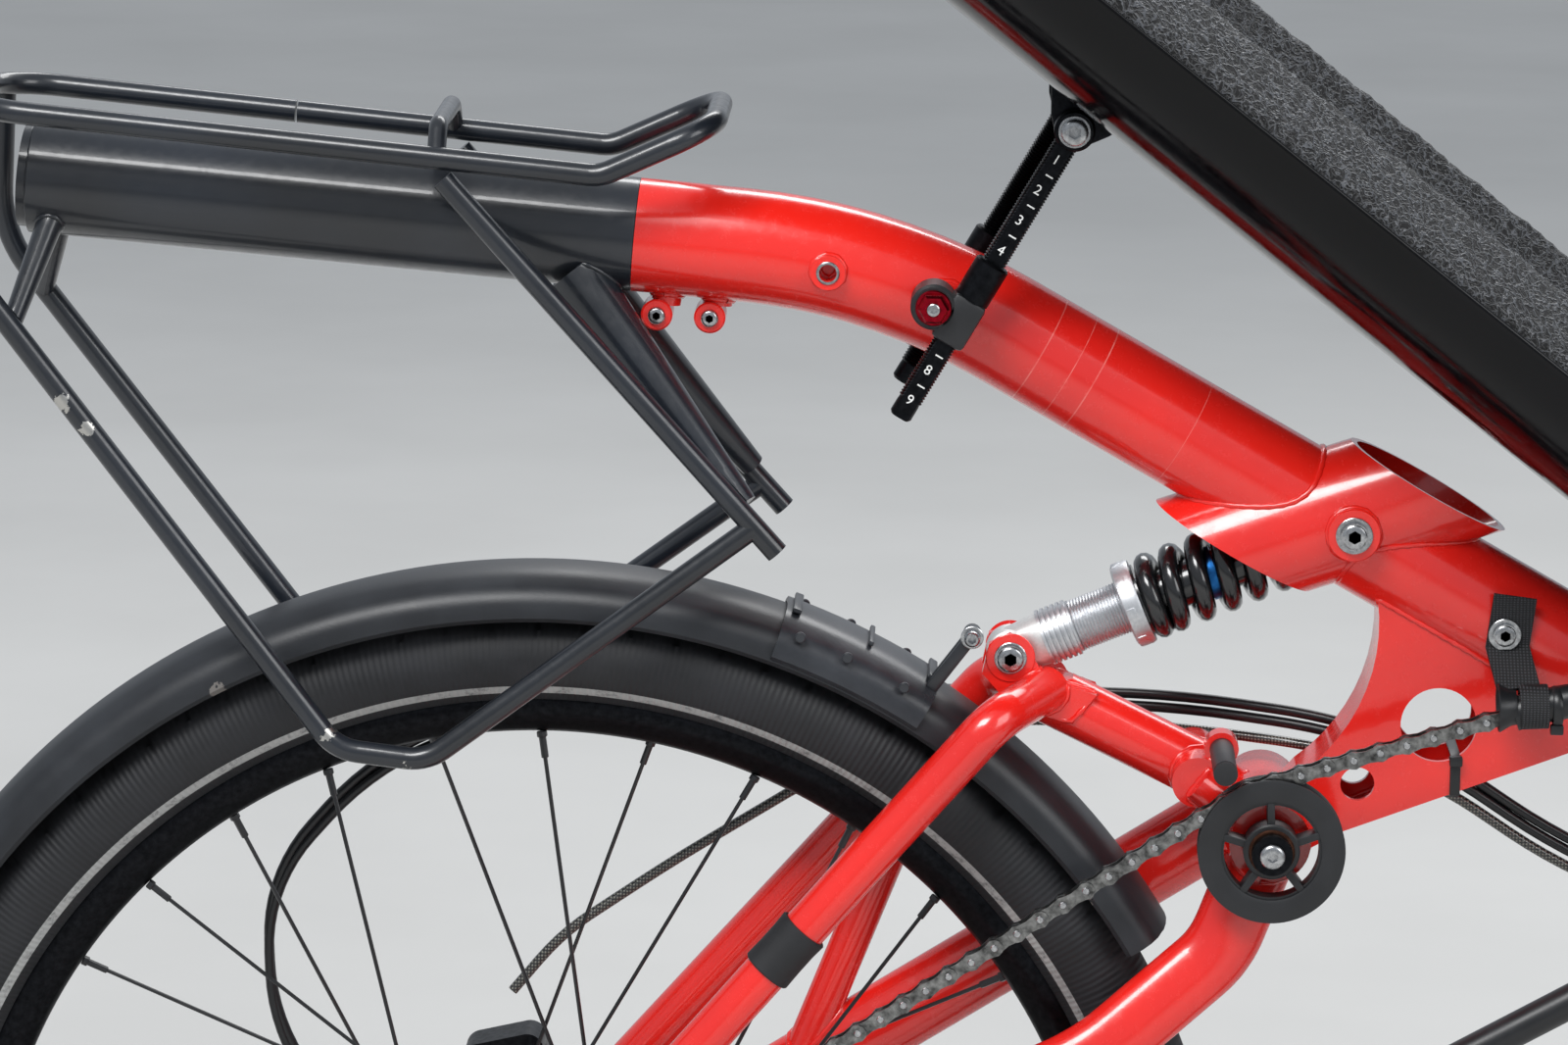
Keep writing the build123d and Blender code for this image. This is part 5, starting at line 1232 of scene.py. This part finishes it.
class BIKE_OT_fenders(bpy.types.Operator):
    """Model both fenders and the clip over the rear one"""
    bl_idname = "bike.fenders"
    bl_label = "Fenders"

    def execute(self, context):
        for which, body, *sizes in (("rear", "frame", REAR_AXLE, 347.0, 32.0, (31.0, 172.0), 2.2),
                                    ("front", "fork", FRONT_AXLE, 264.0, 29.0, (62.0, 178.0), 2.0)):
            add_piece(gutter(*sizes), f"{which}_fender_shell", body, ["dark_plastic"],
                      [f"{which}_fender"], sharp=28.0)
        add_piece(make_clip(), "fender_clip_moulding", "frame", ["smoky_plastic"],
                  ["fender_clip"])
        return {"FINISHED"}


# Controls, pedals and crank bolts

def bar_place(side, height, forward, out):
    """A place on the handlebar, up and ahead of its clamp along the steering axis."""
    tilt = math.radians(STEER_TILT)
    up = Vector((-math.sin(tilt), 0.0, math.cos(tilt)))
    ahead = Vector((math.cos(tilt), 0.0, math.sin(tilt)))
    base = Vector((BAR_AXIS[0] - (BAR_Z - BAR_AXIS[1]) * math.tan(tilt), side * out, BAR_Z))
    return base + up * height + ahead * forward


class BIKE_OT_controls(bpy.types.Operator):
    """Add grip ribs, pedal pins and crank bolts"""
    bl_idname = "bike.controls"
    bl_label = "Controls"

    def execute(self, context):
        bm = bmesh.new()
        ribs = [(-1.0, 11.2), (-1.0, 15.2), (0.0, 16.4), (5.0, 16.4), (6.0, 15.3),
                *repeated([(8.0, 15.2), (9.2, 16.1), (11.6, 16.1), (12.8, 15.2)], 5.2, 16),
                (93.0, 15.4), (94.0, 16.6), (98.4, 16.6), (99.6, 15.2), (99.6, 0.0)]
        for side in (-1, 1):
            low, high = bar_place(side, *GRIP_LOW), bar_place(side, *GRIP_HIGH)
            run = (high - low).normalized()
            first = high - run * 96.0
            lathe(bm, ribs, along(first, first + run), 40)
        add_piece(bm, "grip_ribs", "bar", ["rubber"], ["grips"])
        for which, way in (("left", -1), ("right", 1)):
            x, y = CRANK_AXLE[0] + way * CRANK_ARM, -way * PEDAL_Y
            bm = bmesh.new()
            for dx in (-42.0, -14.0, 14.0, 42.0):
                for dy in (-40.0, 40.0):
                    low, high = ((x + dx, y + dy, CRANK_AXLE[1] + dz) for dz in (-14.6, 14.6))
                    rod(bm, low, high, 1.8, 10, 0, 0.6)
            add_piece(bm, f"{which}_pedal_pins", f"{which}_pedal", ["steel"])
        bm = bmesh.new()
        for k in range(5):
            bolt_head(bm, sideways(polar(CRANK_AXLE, 65.0, 72.0 * k + 18.0), -52.6, -1), 4.6, 2.6, 2.4)
        for side in (-1, 1):
            bolt_head(bm, sideways(CRANK_AXLE, side * 72.2, side), 10.0, 2.5, 4.6)
        add_piece(bm, "crank_bolts", "crankset", ["steel"])
        return {"FINISHED"}


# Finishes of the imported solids

NODE_FINISH = {
    "red_enamel": ["main_frame", "swingarm", "boom"],
    "black_enamel": ["tail_tube", "rack_rails", "rack_struts", "fork_crown", "fork_lowers"],
    "black_anodised": ["rear_hub", "front_hub", "rear_calliper", "front_calliper", "seat_rods",
                       "seat_brackets", "seat_saddle", "tensioner", "gear_box", "handlebar", "brake_levers",
                       "tie_rod", "chainring", "pedal_left", "pedal_right", "rear_rim", "front_rim",
                       "pivot_bolt"],
    "silver_alloy": ["shock_body", "cranks"],
    "steel": ["frame_bolts", "rear_axle_set", "front_axle_set", "sprocket"],
    "disc_steel": ["rear_disc", "front_disc"],
    "chain_steel": ["chain"],
    "spring_steel": ["shock_spring"],
    "spoke_black": ["rear_spokes", "front_spokes"],
    "dark_plastic": ["rear_fender", "front_fender"],
    "smoky_plastic": ["fender_clip"],
    "tube_plastic": ["chain_tubes"],
    "idler_plastic": ["idler_wheel", "jockey_wheels", "chain_peg"],
    "rubber": ["grips"],
    "jacket": ["cables"],
    "shell": ["seat_shell"],
    "foam": ["seat_pad"],
    "webbing": ["strap"],
    "hose": ["brake_hose"],
    "rear_rubber": ["rear_tyre"],
    "front_rubber": ["front_tyre"],
}


class BIKE_OT_finishes(bpy.types.Operator):
    """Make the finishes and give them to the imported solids"""
    bl_idname = "bike.finishes"
    bl_label = "Finishes"

    def execute(self, context):
        FINISHES.update(make_finishes(context.scene.bicycle_looks))
        for finish, names in NODE_FINISH.items():
            for name in names:
                for item in NODES[name].material_slots:
                    item.material = FINISHES[finish]
        return {"FINISHED"}


# Stage

# Each lamp's name, place, aim, size and power; the key lamp's power is a user's choice
LAMPS = [
    ("key_lamp", (-1.6, -2.6, 3.4), (-0.4, 0.0, 0.0), (2.2, 1.4), None),
    ("fill_lamp", (2.4, -2.2, 1.6), (0.0, 0.0, 0.0), (2.0, 2.0), 50.0),
    ("rim_lamp", (0.4, 3.0, 2.6), (0.0, 0.0, 0.0), (3.0, 1.0), 60.0),
]
FLOOR_REACH = 40.0
SKY, SKY_STRENGTH = "#E4EBF4", 0.6


def make_floor(scene):
    """A wide plain floor under the wheels."""
    bm = bmesh.new()
    bmesh.ops.create_grid(bm, x_segments=1, y_segments=1, size=FLOOR_REACH)
    bmesh.ops.translate(bm, vec=(0.0, 0.0, spot(0.0, 0.0, GROUND_Z).z), verts=bm.verts)
    mesh = bpy.data.meshes.new("floor")
    bm.to_mesh(mesh)
    bm.free()
    floor = bpy.data.objects.new("floor", mesh)
    mesh.materials.append(lamp_floor("pale floor", "#CDCCC9"))
    scene.collection.objects.link(floor)


def make_lights(scene):
    """A soft sky and three area lamps."""
    world = bpy.data.worlds.new("studio")
    scene.world = world
    world.use_nodes = True
    sky = world.node_tree.nodes["Background"].inputs
    sky["Color"].default_value, sky["Strength"].default_value = linear(SKY), SKY_STRENGTH
    for name, place, aim, (wide, tall), power in LAMPS:
        data = given(bpy.data.lights.new(name, "AREA"), shape="RECTANGLE", size=wide, size_y=tall,
                     energy=power or scene.bicycle_looks.key_power)
        turn = (Vector(aim) - Vector(place)).to_track_quat("-Z", "Y").to_euler()
        lamp = given(bpy.data.objects.new(name, data), location=place, rotation_euler=turn)
        scene.collection.objects.link(lamp)


def make_camera(scene):
    """The camera at the photograph's angle."""
    yaw, rise, roll = (math.radians(v) for v in CAMERA_TURN)
    ahead = Vector((math.sin(yaw) * math.cos(rise), math.cos(yaw) * math.cos(rise), -math.sin(rise)))
    flat = Vector((math.cos(yaw), -math.sin(yaw), 0.0))
    right = flat * math.cos(roll) + flat.cross(ahead) * math.sin(roll)
    data = given(bpy.data.cameras.new("camera"), sensor_width=SENSOR, clip_end=200.0,
                 lens=CAMERA_DISTANCE / MM_PER_PIXEL / PHOTO_WIDTH * SENSOR)
    camera = bpy.data.objects.new("camera", data)
    place = spot(*aside(CAMERA_AIM)) - ahead * CAMERA_DISTANCE * MM
    turn = Matrix((right, right.cross(ahead), -ahead)).transposed().to_4x4()
    camera.matrix_world = Matrix.Translation(place) @ turn
    scene.collection.objects.link(camera)
    scene.camera = camera


class BIKE_OT_stage(bpy.types.Operator):
    """Set the floor, the lamps and the camera"""
    bl_idname = "bike.stage"
    bl_label = "Stage"

    def execute(self, context):
        make_floor(context.scene)
        make_lights(context.scene)
        make_camera(context.scene)
        context.scene.view_settings.view_transform = "Standard"
        return {"FINISHED"}


class BicycleLooks(bpy.types.PropertyGroup):
    """Sizes, a colour and a lamp that a user would change"""
    frame_colour: bpy.props.FloatVectorProperty(
        name="Frame colour", description="sRGB colour of the powder enamel", subtype="COLOR_GAMMA",
        default=(0.918, 0.137, 0.098), min=0.0, max=1.0)
    plate_thickness: bpy.props.FloatProperty(
        name="Chain plate", description="Thickness of a chain link's side plate", default=0.00095,
        min=0.0005, max=0.0012, unit="LENGTH", precision=5)
    wire_radius: bpy.props.FloatProperty(
        name="Spring wire", description="Radius of the coil spring's wire", default=0.0047, min=0.003,
        max=0.0055, unit="LENGTH", precision=4)
    numeral_height: bpy.props.FloatProperty(
        name="Numerals", description="Height of the numbers printed on the seat stay", default=0.0047,
        min=0.002, max=0.006, unit="LENGTH", precision=4)
    weld_radius: bpy.props.FloatProperty(
        name="Weld bead", description="Radius of the weld beads at the frame's joints", default=0.0015,
        min=0.0005, max=0.003, unit="LENGTH", precision=4)
    key_power: bpy.props.FloatProperty(
        name="Key lamp", description="Power of the main lamp", default=165.0, min=0.0, unit="POWER")


class BIKE_PT_panel(bpy.types.Panel):
    """Bicycle parts"""
    bl_label = "Recumbent Bicycle"
    bl_idname = "BIKE_PT_panel"
    bl_space_type = "VIEW_3D"
    bl_region_type = "UI"
    bl_category = "Bicycle"

    def draw(self, context):
        for name in BicycleLooks.__annotations__:
            self.layout.prop(context.scene.bicycle_looks, name)
        for kind in OPERATORS:
            self.layout.operator(kind.bl_idname)


OPERATORS = [BIKE_OT_finishes, BIKE_OT_wheels, BIKE_OT_chain, BIKE_OT_shock, BIKE_OT_frame_details,
             BIKE_OT_seat, BIKE_OT_shell, BIKE_OT_idler, BIKE_OT_fenders, BIKE_OT_controls, BIKE_OT_stage]
CLASSES = [BicycleLooks, *OPERATORS, BIKE_PT_panel]


def register():
    """Adds the classes and the user's settings."""
    for kind in CLASSES:
        bpy.utils.register_class(kind)
    bpy.types.Scene.bicycle_looks = bpy.props.PointerProperty(type=BicycleLooks)


def unregister():
    """Removes the settings and the classes."""
    del bpy.types.Scene.bicycle_looks
    for kind in reversed(CLASSES):
        bpy.utils.unregister_class(kind)


def main():
    """Makes the whole bicycle and its stage."""
    register()
    for kind in OPERATORS:
        group, name = kind.bl_idname.split(".")
        getattr(getattr(bpy.ops, group), name)()


if __name__ == "__main__":
    main()
